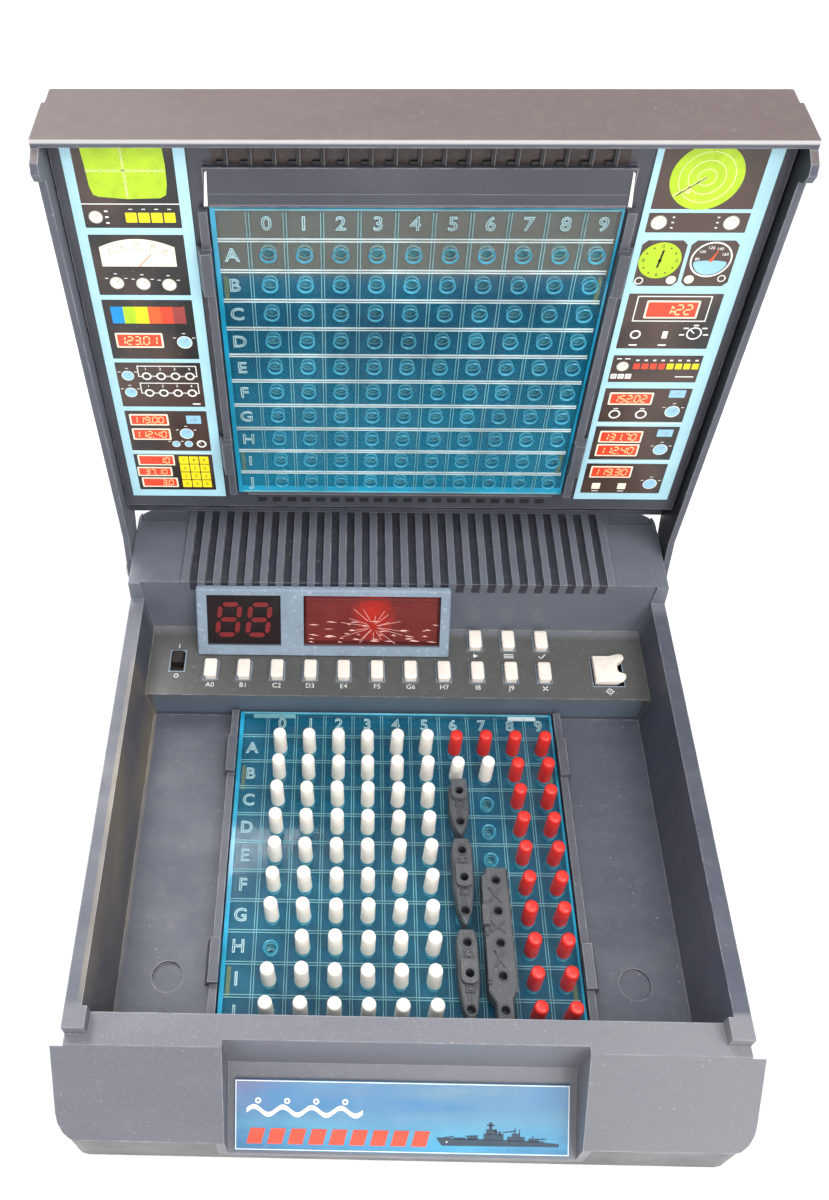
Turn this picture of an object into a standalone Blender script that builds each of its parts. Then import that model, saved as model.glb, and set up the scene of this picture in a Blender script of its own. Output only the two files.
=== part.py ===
"""Fleet guessing case: a clamshell sea-battle game with two peg boards, a key deck and a lit display.

Metres, +Z up, +X to the player's right, the front faces -Y. The origin is the middle of the footprint
of the whole case with its lid standing open, on the table.
"""

import math

import bmesh
import bpy
from mathutils import Matrix, Vector

MM = 0.001
GAP = 0.3 * MM  # air between pieces that touch on the real case

# Peg boards: a label row and a label column beside ten by ten holes.
PITCH = 10.75 * MM
HOLES = 10
BOARD_SKIN = 2.2 * MM
BOARD_SKIRT = 7.2 * MM
HOLE_R = 1.7 * MM
HOLE_SIDES = 6
BOARD = (HOLES + 1) * PITCH

# Pegs and ships stand in the holes.
PEG_R = 2.4 * MM
PEG_ABOVE = 12.3 * MM
STEM_R = 1.35 * MM
STEM = 3.6 * MM
SHIP_DECK = 7.4 * MM
SHIP_TOWER = 2.4 * MM
SHIP_BEAM = 6.8 * MM
CARRIER_BEAM = 9.6 * MM
SHIP_END_GAP = 0.9 * MM

# Heights of the base.
TUB_Z = 1.5 * MM
SEAM_Z = 23.5 * MM
TRAY_Z = 27.5 * MM
BOARD_Z = 32.0 * MM
DECK_Z = 41.7 * MM
LEDGE_Z = 52.4 * MM
RIM_Z = 58.0 * MM
HUMP_Z = 66.0 * MM
WELL_Z = BOARD_Z - BOARD_SKIRT - GAP
WALL = 2.5 * MM
TUB_FLOOR = 3.0 * MM
TUB_INSET = 0.5 * MM

# Widths of the base.
TRAY_FLOOR_HALF = 93.3 * MM
RIM_SLOPE = 3.45 * MM
RIM_WIDTH = 5.25 * MM
BLOCK_FLARE = 4.0 * MM
LEDGE_INSET = 1.65 * MM
RIM_INNER = TRAY_FLOOR_HALF + RIM_SLOPE
BASE_HALF = RIM_INNER + RIM_WIDTH
BLOCK_HALF = BASE_HALF + BLOCK_FLARE

# Depths of the base, from the front edge back, and the lid behind it.
SLOPE_RUN = 20.3 * MM
LEDGE_RUN = 9.7 * MM
BOARD_MARGIN = 1.1 * MM
DECK_RUN = 31.7 * MM
HUMP_LEAN = 3.3 * MM
HUMP_RUN = 37.6 * MM
SHOULDER = 1.0 * MM
LID_OVERHANG = 6.2 * MM
FRONT_Y = -(SLOPE_RUN + LEDGE_RUN + BOARD + 2 * BOARD_MARGIN + DECK_RUN + HUMP_LEAN + HUMP_RUN + LID_OVERHANG) / 2
LEDGE_FRONT_Y = FRONT_Y + SLOPE_RUN
LEDGE_REAR_Y = LEDGE_FRONT_Y + LEDGE_RUN
BOARD_FRONT_Y = LEDGE_REAR_Y + BOARD_MARGIN
BOARD_REAR_Y = BOARD_FRONT_Y + BOARD
DECK_FRONT_Y = BOARD_REAR_Y + BOARD_MARGIN
DECK_REAR_Y = DECK_FRONT_Y + DECK_RUN
HUMP_FRONT_Y = DECK_REAR_Y + HUMP_LEAN
REAR_Y = HUMP_FRONT_Y + HUMP_RUN
RIM_END_Y = LEDGE_FRONT_Y + 3.1 * MM
CORNER_R = 6.0 * MM

# Ribs on the hump and the steps behind its two end pads.
RIB_COUNT = 28
RIB_PITCH = 5.94 * MM
RIB_WIDTH = 2.7 * MM
RIB_RISE = 1.6 * MM
RIB_SINK = 0.5 * MM
RIB_OVERHANG = 1.2 * MM
RIB_STOP = 1.0 * MM
PAD_STEP = 1.2 * MM
PAD_STEP_RUN = 7.0 * MM

# Sunken panel in the middle of the front, with its picture plate.
RECESS_HALF = 54.6 * MM
RECESS_TOP_Z = 29.3 * MM
RECESS_LOW_Z = 10.5 * MM
RECESS_SETBACK = 2.2 * MM
PLATE_HALF = 52.3 * MM
PLATE_THICK = 0.8 * MM
PLATE_LOW = 1.6 * MM
PLATE_LONG = 22.6 * MM

# Lid: it closes with its front edge over the ledge and its lips outside the rims.
LID_WALL = 2.3 * MM
LID_SIDE_GAP = 0.4 * MM
LID_DEPTH = 29.3 * MM
SKIRT_GAP = 1.15 * MM
HINGE_SETBACK = 2.075 * MM
LID_GAP = 0.4 * MM
PIN_R = 2.2 * MM
PIN_HEAD_R = 4.0 * MM
PIN_HEAD = 0.9 * MM
ARM_R = 7.0 * MM
LID_INNER = BASE_HALF + LID_SIDE_GAP
LID_HALF = LID_INNER + LID_WALL
LID_BACK_Y = -FRONT_Y
LIP_Y = LID_BACK_Y - LID_DEPTH
HINGE_Y = LIP_Y + HINGE_SETBACK
HINGE_Z = LEDGE_Z + LID_GAP + HINGE_SETBACK
LID_TOP_Z = HINGE_Y + HINGE_Z - LEDGE_FRONT_Y
LID_SKIRT_Z = max(HINGE_Y + HINGE_Z - HUMP_FRONT_Y, HUMP_Z + RIB_RISE) + SKIRT_GAP
EAR_OUT = 5.0 * MM
EAR_LONG = 9.5 * MM
LUG_OUT = 1.6 * MM
LUG_LONG = 15.0 * MM
SIDE_STEP = 1.0 * MM
SIDE_STEP_RUN = 10.0 * MM

# Inside the lid: a panel that holds the target board, and a picture sheet on each side of it.
PANEL_Y = LIP_Y + 6.2 * MM
PANEL_THICK = 2.0 * MM
PANEL_ABOVE_SKIRT = 13.6 * MM
PANEL_LOW_Z = LID_SKIRT_Z + PANEL_ABOVE_SKIRT
LID_BOARD_PROUD = 1.0 * MM
WELL_DEPTH = BOARD_SKIRT + GAP - LID_BOARD_PROUD
WELL_WALL = 1.5 * MM
LID_BOARD_DROP = 23.35 * MM
SLAB_TALL = 12.2 * MM
SLAB_RISE = 2.0 * MM
SHEET_THICK = 0.3 * MM
SHEET_EDGE = 3.8 * MM
SHEET_LOW = 6.0 * MM
SHEET_LOW_Z = PANEL_LOW_Z + SHEET_LOW
SHEET_RAIL_GAP = 0.675 * MM
SHEET_TOP_DROP = 4.6 * MM

# Rails with clip tabs along both sides of each board.
RAIL_WIDTH = 2.6 * MM
RAIL_RISE = 2.0 * MM
TAB_WIDTH = 4.4 * MM
TAB_RISE = 4.6 * MM
TAB_STARTS = (0.2 * PITCH, 7.35 * PITCH)
TAB_LONG = 14.8 * MM
SHEET_INNER = BOARD / 2 + TAB_WIDTH + SHEET_RAIL_GAP

# Display box on the deck, with a digit window and a picture window in its sloped face.
BEZEL_X = (-76.3 * MM, 20.4 * MM)
BEZEL_RUN = 14.3 * MM
BEZEL_RISE = 23.1 * MM
BEZEL_WALL = 2.2 * MM
DIGIT_X = (-72.3 * MM, -44.1 * MM)
SCENE_X = (-35.4 * MM, 16.7 * MM)
WINDOW_LOW = 4.4 * MM
WINDOW_TALL = 20.6 * MM
LENS_THICK = 1.4 * MM
LENS_SUNK = 0.7 * MM
BEZEL_ANGLE = math.atan2(BEZEL_RISE, BEZEL_RUN)
BEZEL_FACE = math.hypot(BEZEL_RISE, BEZEL_RUN)

# Keys: caps in slots through the deck, each with a flange that holds it in.
KEY_PITCH = 12.7 * MM
KEY_CAP = (4.6 * MM, 7.8 * MM)
KEY_RISE = 2.6 * MM
KEY_SLOT_GAP = 0.6 * MM
KEY_FLANGE = 1.2 * MM
KEY_FLANGE_OUT = 1.3 * MM
KEY_TRAVEL = 1.5 * MM
LOW_ROW = ("a0", "b1", "c2", "d3", "e4", "f5", "g6", "h7", "i8", "j9", "cancel")
HIGH_ROW = ("start", "mode", "verify")
ROW_X = -70.7 * MM
LOW_ROW_IN = 11.0 * MM
HIGH_ROW_IN = 25.6 * MM
ENTER_CAP = (10.8 * MM, 12.0 * MM)
ENTER_X = 80.4 * MM
ENTER_IN = 12.4 * MM
SWITCH_X = -83.9 * MM
SWITCH_IN = 15.2 * MM
SWITCH_SLOT = (5.2 * MM, 9.0 * MM)
SWITCH_KNOB = (4.4 * MM, 5.2 * MM)
SWITCH_RISE = 1.6 * MM
SWITCH_TRAVEL = 3.2 * MM

# Under the deck: rubber key mat, circuit board and its chip.
MAT_THICK = 1.5 * MM
CIRCUIT_THICK = 1.6 * MM
CIRCUIT_HALF = 90.0 * MM
CHIP = (36.0 * MM, 13.0 * MM, 3.4 * MM)
MODULE = (25.2 * MM, 19.0 * MM, 5.0 * MM)

# Batteries in the tub, under the hump, with a door that slides out at the rear.
CELL_R = 13.1 * MM
CELL_LONG = 50.0 * MM
CELL_NUB = 1.4 * MM
CELL_GAP = 2.3 * MM
DOOR_THICK = 1.5 * MM
CONTACT_THICK = 0.8 * MM

# Speaker, feet and screws.
SPEAKER_R = 27.0 * MM
SPEAKER_TALL = 15.5 * MM
FOOT_R = 6.0 * MM
FOOT_STEM_R = 2.0 * MM
SCREW_R = 1.4 * MM
SCREW_HEAD_R = 3.0 * MM
BOSS_R = 4.0 * MM
REACH = 0.3  # longer than any piece, for a cut that goes right through


def clear_scene():
    for obj in list(bpy.data.objects):
        bpy.data.objects.remove(obj, do_unlink=True)


def new_collection(name):
    collection = bpy.data.collections.new(name)
    bpy.context.scene.collection.children.link(collection)
    return collection


def make_material(name, color, roughness, metallic=0.0, alpha=1.0):
    material = bpy.data.materials.new(name)
    material.use_nodes = True
    shader = material.node_tree.nodes["Principled BSDF"]
    shader.inputs["Base Color"].default_value = (*color, 1.0)
    shader.inputs["Roughness"].default_value = roughness
    shader.inputs["Metallic"].default_value = metallic
    shader.inputs["Alpha"].default_value = alpha
    return material


def mesh_object(name, mesh, collection, material=None, matrix=None):
    """Wraps a mesh in an object and links it into the collection."""
    obj = bpy.data.objects.new(name, mesh)
    collection.objects.link(obj)
    obj.matrix_world = matrix or Matrix.Identity(4)
    if material:
        mesh.materials.clear()
        mesh.materials.append(material)
    return obj


def helper(obj):
    """Marks a cutter or a joining piece that isn't a node of its own."""
    obj.hide_render = True
    obj.display_type = "WIRE"
    return obj


def box_mesh(low, high):
    """A box between two corners, from Blender's cube."""
    bpy.ops.mesh.primitive_cube_add(size=1.0)
    cube = bpy.context.object
    mesh = cube.data
    low, high = Vector(low), Vector(high)
    size = high - low
    mesh.transform(Matrix.Translation((low + high) / 2) @ Matrix.Diagonal((*size, 1.0)))
    bpy.data.objects.remove(cube)
    return mesh


def cylinder_mesh(radius, low, high, center=(0.0, 0.0), sides=24, axis="Z"):
    """A cylinder along an axis, from low to high on it. center holds the other two coordinates."""
    bpy.ops.mesh.primitive_cylinder_add(radius=radius, depth=high - low, vertices=sides)
    rod = bpy.context.object
    mesh = rod.data
    middle = (low + high) / 2
    if axis == "X":
        place = Matrix.Translation((middle, *center)) @ Matrix.Rotation(math.pi / 2, 4, "Y")
    elif axis == "Y":
        place = Matrix.Translation((center[0], middle, center[1])) @ Matrix.Rotation(math.pi / 2, 4, "X")
    else:
        place = Matrix.Translation((*center, middle))
    mesh.transform(place)
    bpy.data.objects.remove(rod)
    return mesh


# A flat outline lies in XY. These turn it so that it is drawn in YZ and runs along X,
# or is drawn in XZ and runs along Y.
SIDE_VIEW = Matrix(((0, 0, 1, 0), (1, 0, 0, 0), (0, 1, 0, 0), (0, 0, 0, 1)))
FRONT_VIEW = Matrix(((1, 0, 0, 0), (0, 0, -1, 0), (0, 1, 0, 0), (0, 0, 0, 1)))


def prism_mesh(outline, low, high, view=None):
    """A flat outline extruded from low to high. view turns the plane that the outline is drawn in."""
    curve = bpy.data.curves.new("outline", "CURVE")
    curve.dimensions = "2D"
    curve.fill_mode = "BOTH"
    curve.extrude = (high - low) / 2
    spline = curve.splines.new("POLY")
    spline.points.add(len(outline) - 1)
    for point, (across, along) in zip(spline.points, outline):
        point.co = (across, along, 0.0, 1.0)
    spline.use_cyclic_u = True
    guide = bpy.data.objects.new("outline", curve)
    bpy.context.scene.collection.objects.link(guide)
    graph = bpy.context.evaluated_depsgraph_get()
    mesh = bpy.data.meshes.new_from_object(guide.evaluated_get(graph))
    bpy.data.objects.remove(guide)
    bpy.data.curves.remove(curve)
    weld(mesh)
    middle = (low + high) / 2
    if view == FRONT_VIEW:
        middle = -middle
    mesh.transform((view or Matrix.Identity(4)) @ Matrix.Translation((0, 0, middle)))
    return mesh


def weld(mesh):
    """Joins loose caps and turns every face outwards."""
    shape = bmesh.new()
    shape.from_mesh(mesh)
    bmesh.ops.remove_doubles(shape, verts=shape.verts, dist=1e-6)
    bmesh.ops.recalc_face_normals(shape, faces=shape.faces)
    shape.to_mesh(mesh)
    shape.free()


def joined(meshes):
    """One mesh that holds several separate bodies, used only as a cutter or to be joined on."""
    shape = bmesh.new()
    for mesh in meshes:
        shape.from_mesh(mesh)
    result = bpy.data.meshes.new("joined")
    shape.to_mesh(result)
    shape.free()
    return result


def rounded(corners, steps=4):
    """An outline from (x, y, radius) corners, with an arc of a few steps at each rounded one."""
    points = []
    for index, (x, y, radius) in enumerate(corners):
        here = Vector((x, y))
        if not radius:
            points.append(here)
            continue
        before = Vector(corners[index - 1][:2]) - here
        after = Vector(corners[(index + 1) % len(corners)][:2]) - here
        before.normalize()
        after.normalize()
        half = before.angle(after) / 2
        reach = radius / math.tan(half)
        middle = here + (before + after).normalized() * (radius / math.sin(half))
        start = here + before * reach - middle
        turn = start.angle_signed(here + after * reach - middle)
        for step in range(steps + 1):
            angle = -turn * step / steps
            points.append(middle + Matrix.Rotation(angle, 2) @ start)
    return [tuple(point) for point in points]


def change(obj, operation, mesh, name):
    """Adds, cuts or keeps the overlap with another shape, as a Boolean that stays on the object."""
    tool = helper(mesh_object(f"{obj.name}.{name}", mesh, cutters))
    modifier = obj.modifiers.new(name, "BOOLEAN")
    modifier.operation = operation
    modifier.solver = "EXACT"
    modifier.object = tool
    return tool


def cut(obj, mesh, name):
    change(obj, "DIFFERENCE", mesh, name)


def add(obj, mesh, name):
    change(obj, "UNION", mesh, name)


def soften(obj, width, segments=2, angle=50):
    modifier = obj.modifiers.new("edges", "BEVEL")
    modifier.width = width
    modifier.segments = segments
    modifier.limit_method = "ANGLE"
    modifier.angle_limit = math.radians(angle)


def both_sides(mesh):
    """A shape on the +X side and its mirror image on the -X side, as separate bodies."""
    other = mesh.copy()
    other.transform(Matrix.Scale(-1, 4, (1, 0, 0)))
    other.flip_normals()
    return joined([mesh, other])


def plan_outline(inset):
    """The footprint of the base: a flared front block with round corners, and straight sides behind it."""
    front, rear = FRONT_Y + inset, REAR_Y - inset
    step = LEDGE_FRONT_Y - GAP - inset
    wide, narrow = BLOCK_HALF - inset, BASE_HALF - inset
    round_off = CORNER_R - inset
    right = [(wide, front, round_off), (wide, step, 0), (narrow, step, 0), (narrow, rear, round_off)]
    left = [(-x, y, radius) for x, y, radius in reversed(right)]
    return rounded(right + left)


def tray_and_deck_mesh():
    """The space between the rims, over the tray and the deck. Its sides lean out evenly as it rises."""
    top_z = HUMP_Z + RIB_RISE + WALL
    lean = HUMP_LEAN / (HUMP_Z - DECK_Z)
    outline = [
        (LEDGE_REAR_Y, TRAY_Z),
        (DECK_FRONT_Y, TRAY_Z),
        (DECK_FRONT_Y, DECK_Z),
        (DECK_REAR_Y, DECK_Z),
        (DECK_REAR_Y + lean * (top_z - DECK_Z), top_z),
        (LEDGE_REAR_Y, top_z),
    ]
    mesh = prism_mesh(outline, -1.0, 1.0, SIDE_VIEW)
    for vertex in mesh.vertices:
        vertex.co.x *= TRAY_FLOOR_HALF + RIM_SLOPE * (vertex.co.z - TRAY_Z) / (RIM_Z - TRAY_Z)
    return mesh


def key_places():
    """(name, x, y, cap size) of each key."""
    low_y = DECK_FRONT_Y + LOW_ROW_IN
    high_y = DECK_FRONT_Y + HIGH_ROW_IN
    places = [(key, ROW_X + index * KEY_PITCH, low_y, KEY_CAP) for index, key in enumerate(LOW_ROW)]
    first = len(LOW_ROW) - len(HIGH_ROW)
    places += [(key, ROW_X + (first + index) * KEY_PITCH, high_y, KEY_CAP) for index, key in enumerate(HIGH_ROW)]
    places.append(("enter", ENTER_X, DECK_FRONT_Y + ENTER_IN, ENTER_CAP))
    return places


SCREW_PLACES = [
    (side * x, y)
    for side in (-1, 1)
    for x, y in ((88.0 * MM, (LEDGE_FRONT_Y + LEDGE_REAR_Y - WALL) / 2), (88.0 * MM, REAR_Y - 12.0 * MM))
]
FOOT_PLACES = [(side * 92.0 * MM, y) for side in (-1, 1) for y in (FRONT_Y + 12.0 * MM, REAR_Y - 26.0 * MM)]
SPEAKER_PLACE = (0.0, BOARD_FRONT_Y + 52.0 * MM)
RECESS_REAR_Y = LEDGE_FRONT_Y + RECESS_SETBACK
RECESS_ANGLE = math.atan2(RECESS_TOP_Z - RECESS_LOW_Z, RECESS_REAR_Y - FRONT_Y)


def upper_case():
    """Rims, tray, deck, hump and front block, moulded in one piece and open below."""
    case = mesh_object("upper_case", prism_mesh(plan_outline(0.0), SEAM_Z, RIM_Z + 2 * WALL + HUMP_Z), parts, casing)
    above = HUMP_Z + 0.1
    rim_meets_hump = DECK_REAR_Y - SHOULDER + HUMP_LEAN * (RIM_Z - DECK_Z) / (HUMP_Z - DECK_Z)
    sky = [
        (FRONT_Y - WALL, SEAM_Z - WALL * (LEDGE_Z - SEAM_Z) / SLOPE_RUN),
        (LEDGE_FRONT_Y, LEDGE_Z),
        (RIM_END_Y, LEDGE_Z),
        (RIM_END_Y, RIM_Z),
        (rim_meets_hump, RIM_Z),
        (HUMP_FRONT_Y - SHOULDER, HUMP_Z),
        (REAR_Y + WALL, HUMP_Z),
        (REAR_Y + WALL, above),
        (FRONT_Y - WALL, above),
    ]
    cut(case, prism_mesh(sky, -REACH, REACH, SIDE_VIEW), "sky")

    tongue_half = RECESS_HALF + WALL
    tongue = [
        (FRONT_Y, RECESS_LOW_Z - WALL),
        (FRONT_Y, SEAM_Z - 0.1 * WALL),
        (FRONT_Y + WALL, SEAM_Z + 0.8 * WALL),
        (RECESS_REAR_Y + WALL, SEAM_Z + 2 * WALL),
        (RECESS_REAR_Y + WALL, SEAM_Z - 0.5 * WALL),
    ]
    add(case, prism_mesh(tongue, -tongue_half, tongue_half, SIDE_VIEW), "tongue")
    slope = math.tan(RECESS_ANGLE)
    recess = [
        (RECESS_REAR_Y, RECESS_TOP_Z),
        (RECESS_REAR_Y, above),
        (FRONT_Y - WALL, above),
        (FRONT_Y - WALL, RECESS_LOW_Z - WALL * slope),
    ]
    cut(case, prism_mesh(recess, -RECESS_HALF, RECESS_HALF, SIDE_VIEW), "recess")

    ledge_half = RIM_INNER - LEDGE_INSET
    cut(case, box_mesh((-ledge_half, RIM_END_Y - WALL, LEDGE_Z), (ledge_half, LEDGE_REAR_Y + WALL, above)), "ledge")
    cut(case, tray_and_deck_mesh(), "tray_and_deck")

    inner = BASE_HALF - WALL
    below = SEAM_Z - WALL
    pocket = [
        (FRONT_Y + 1.6 * WALL, below),
        (LEDGE_FRONT_Y + 0.6 * WALL, LEDGE_Z - WALL),
        (LEDGE_REAR_Y - WALL, LEDGE_Z - WALL),
        (LEDGE_REAR_Y - WALL, below),
    ]
    cut(case, both_sides(prism_mesh(pocket, tongue_half + WALL, inner, SIDE_VIEW)), "pockets")
    under = [
        (DECK_FRONT_Y + WALL, below),
        (DECK_FRONT_Y + WALL, DECK_Z - WALL),
        (DECK_REAR_Y + WALL, DECK_Z - WALL),
        (HUMP_FRONT_Y + WALL, HUMP_Z - WALL),
        (REAR_Y - WALL, HUMP_Z - WALL),
        (REAR_Y - WALL, below),
    ]
    cut(case, prism_mesh(under, -inner, inner, SIDE_VIEW), "under_deck")
    lean = RIM_SLOPE * (RIM_Z - SEAM_Z - 2 * WALL) / (RIM_Z - TRAY_Z)
    hollow = [
        (TRAY_FLOOR_HALF + WALL, below),
        (inner, below),
        (inner, RIM_Z - 1.6 * WALL),
        (min(TRAY_FLOOR_HALF + WALL + lean, inner - 0.2 * WALL), RIM_Z - 1.6 * WALL),
    ]
    rim_hollow = prism_mesh(hollow, LEDGE_REAR_Y + WALL, DECK_REAR_Y - WALL, FRONT_VIEW)
    cut(case, both_sides(rim_hollow), "rim_hollow")
    floor_cut = ((-TRAY_FLOOR_HALF, LEDGE_REAR_Y + WALL, below), (TRAY_FLOOR_HALF, DECK_FRONT_Y - WALL, TRAY_Z - WALL))
    cut(case, box_mesh(*floor_cut), "floor_underside")

    half = BOARD / 2 + BOARD_MARGIN / 2
    slab = ((-half - WALL, BOARD_FRONT_Y - BOARD_MARGIN / 2 - 0.4 * WALL, WELL_Z - WALL),
            (half + WALL, BOARD_REAR_Y + BOARD_MARGIN / 2 + 0.4 * WALL, TRAY_Z - 0.4 * WALL))
    add(case, box_mesh(*slab), "well_floor")
    well = ((-half, BOARD_FRONT_Y - BOARD_MARGIN / 2, WELL_Z), (half, BOARD_REAR_Y + BOARD_MARGIN / 2, DECK_Z))
    cut(case, box_mesh(*well), "well")
    discs = cylinder_mesh(5.2 * MM, TRAY_Z - 1.2 * MM, TRAY_Z + WALL, (77.0 * MM, BOARD_FRONT_Y + 18.2 * MM), 16)
    cut(case, both_sides(discs), "bin_discs")

    ribs = [
        box_mesh(
            (x - RIB_WIDTH / 2, HUMP_FRONT_Y - RIB_OVERHANG, HUMP_Z - RIB_SINK),
            (x + RIB_WIDTH / 2, REAR_Y - RIB_STOP, HUMP_Z + RIB_RISE),
        )
        for x in rib_places()
    ]
    add(case, joined(ribs), "ribs")
    pad_inner = RIB_COUNT / 2 * RIB_PITCH
    pad = ((pad_inner, REAR_Y - PAD_STEP_RUN, HUMP_Z - PAD_STEP), (BASE_HALF - 1.2 * MM, REAR_Y + WALL, above))
    cut(case, both_sides(box_mesh(*pad)), "pad_steps")

    slots = []
    for _, x, y, (wide, deep) in key_places():
        across, along = wide / 2 + KEY_SLOT_GAP, deep / 2 + KEY_SLOT_GAP
        slots.append(box_mesh((x - across, y - along, DECK_Z - 2 * WALL), (x + across, y + along, DECK_Z + WALL)))
    across, along = SWITCH_SLOT[0] / 2, SWITCH_SLOT[1] / 2
    y = DECK_FRONT_Y + SWITCH_IN
    slots.append(
        box_mesh(
            (SWITCH_X - across, y - along, DECK_Z - 2 * WALL),
            (SWITCH_X + across, y + along, DECK_Z + WALL),
        )
    )
    cut(case, joined(slots), "slots")
    opening = (
        (BEZEL_X[0] + 2 * BEZEL_WALL, DECK_REAR_Y - WALL, DECK_Z + WALL),
        (BEZEL_X[1] - 2 * BEZEL_WALL, HUMP_FRONT_Y + 2 * WALL, DECK_Z + 0.87 * BEZEL_RISE),
    )
    cut(case, box_mesh(*opening), "display_opening")

    bosses = [cylinder_mesh(BOSS_R - 1.0 * MM, SEAM_Z + GAP, LEDGE_Z - 0.6 * WALL, place, 12) for place in front_screws()]
    bosses += [cylinder_mesh(BOSS_R, SEAM_Z + GAP, HUMP_Z - 0.6 * WALL, place, 12) for place in rear_screws()]
    add(case, joined(bosses), "bosses")
    pilots = [cylinder_mesh(SCREW_R + GAP, below, SEAM_Z + 12 * MM, place, 12) for place in SCREW_PLACES]
    cut(case, joined(pilots), "pilot_holes")
    pins = cylinder_mesh(PIN_R + GAP, inner - 2 * WALL, BASE_HALF + WALL, (HINGE_Y, HINGE_Z), 16, "X")
    cut(case, both_sides(pins), "hinge_holes")
    return case


def rib_places():
    return [(index - (RIB_COUNT - 1) / 2) * RIB_PITCH for index in range(RIB_COUNT)]


def front_screws():
    return [place for place in SCREW_PLACES if place[1] < 0]


def rear_screws():
    return [place for place in SCREW_PLACES if place[1] > 0]


def cell_rows():
    """Y of each row of two cells, rear row last."""
    rear = REAR_Y - TUB_INSET - WALL - CELL_GAP - CELL_R
    return (rear - 2 * CELL_R - CELL_GAP, rear)


CELL_Z = TUB_Z + TUB_FLOOR + GAP + CELL_R
BAY_HALF = CELL_LONG + CELL_NUB + 4 * MM
DOOR_HALF = BAY_HALF - 1.0 * MM
DOOR_FRONT_Y = cell_rows()[0] - CELL_R - CELL_GAP


def bottom_cover():
    """The tub under the upper case, with the battery bay, speaker slots and screw posts."""
    cover = mesh_object("bottom_cover", prism_mesh(plan_outline(TUB_INSET), TUB_Z, SEAM_Z - GAP), parts, casing)
    floor_z = TUB_Z + TUB_FLOOR
    inside = prism_mesh(plan_outline(TUB_INSET + WALL), floor_z, SEAM_Z + WALL)
    cut(cover, inside, "inside")
    notch_half = RECESS_HALF + WALL + GAP
    notch = (
        (-notch_half, FRONT_Y - WALL, RECESS_LOW_Z - WALL - GAP),
        (notch_half, FRONT_Y + 2.4 * WALL, SEAM_Z + WALL),
    )
    cut(cover, box_mesh(*notch), "tongue_notch")

    bay_walls = both_sides(
        box_mesh(
            (BAY_HALF, DOOR_FRONT_Y - 1.0 * MM, floor_z - 0.5 * TUB_FLOOR),
            (BAY_HALF + 2 * MM, REAR_Y - TUB_INSET - 0.5 * WALL, SEAM_Z - 2 * MM),
        )
    )
    add(cover, bay_walls, "bay_walls")
    posts = [
        cylinder_mesh(BOSS_R + 0.4 * MM, floor_z - 0.5 * TUB_FLOOR, SEAM_Z - 2 * GAP, place, 12)
        for place in SCREW_PLACES
    ]
    add(cover, joined(posts), "posts")

    slot_top = TUB_Z + DOOR_THICK + GAP
    door_slot = ((-DOOR_HALF - GAP, DOOR_FRONT_Y - GAP, TUB_Z - WALL), (DOOR_HALF + GAP, REAR_Y + WALL, slot_top))
    cut(cover, box_mesh(*door_slot), "door_slot")
    bay = (
        (-DOOR_HALF + 2 * MM, DOOR_FRONT_Y + 2 * MM, TUB_Z),
        (DOOR_HALF - 2 * MM, REAR_Y - TUB_INSET - WALL - 1.5 * MM, floor_z + WALL),
    )
    cut(cover, box_mesh(*bay), "bay")

    x, y = SPEAKER_PLACE
    grille = [
        box_mesh(
            (x - reach, y + offset - 1.0 * MM, TUB_Z - WALL),
            (x + reach, y + offset + 1.0 * MM, floor_z + WALL),
        )
        for offset, reach in speaker_slots()
    ]
    cut(cover, joined(grille), "grille")
    stems = [cylinder_mesh(FOOT_STEM_R + GAP, TUB_Z - WALL, floor_z + WALL, place, 12) for place in FOOT_PLACES]
    cut(cover, joined(stems), "foot_holes")
    shanks = [cylinder_mesh(SCREW_R + GAP, TUB_Z - WALL, SEAM_Z + WALL, place, 12) for place in SCREW_PLACES]
    cut(cover, joined(shanks), "screw_holes")
    heads = [cylinder_mesh(SCREW_HEAD_R + GAP, TUB_Z - WALL, floor_z + 2.3 * MM, place, 12) for place in SCREW_PLACES]
    cut(cover, joined(heads), "screw_heads")


def speaker_slots():
    """(offset, half length) of each sound slot under the speaker."""
    radius = SPEAKER_R - 7 * MM
    offsets = [step * 5 * MM for step in range(-3, 4)]
    return [(offset, math.sqrt(radius**2 - offset**2)) for offset in offsets]


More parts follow.
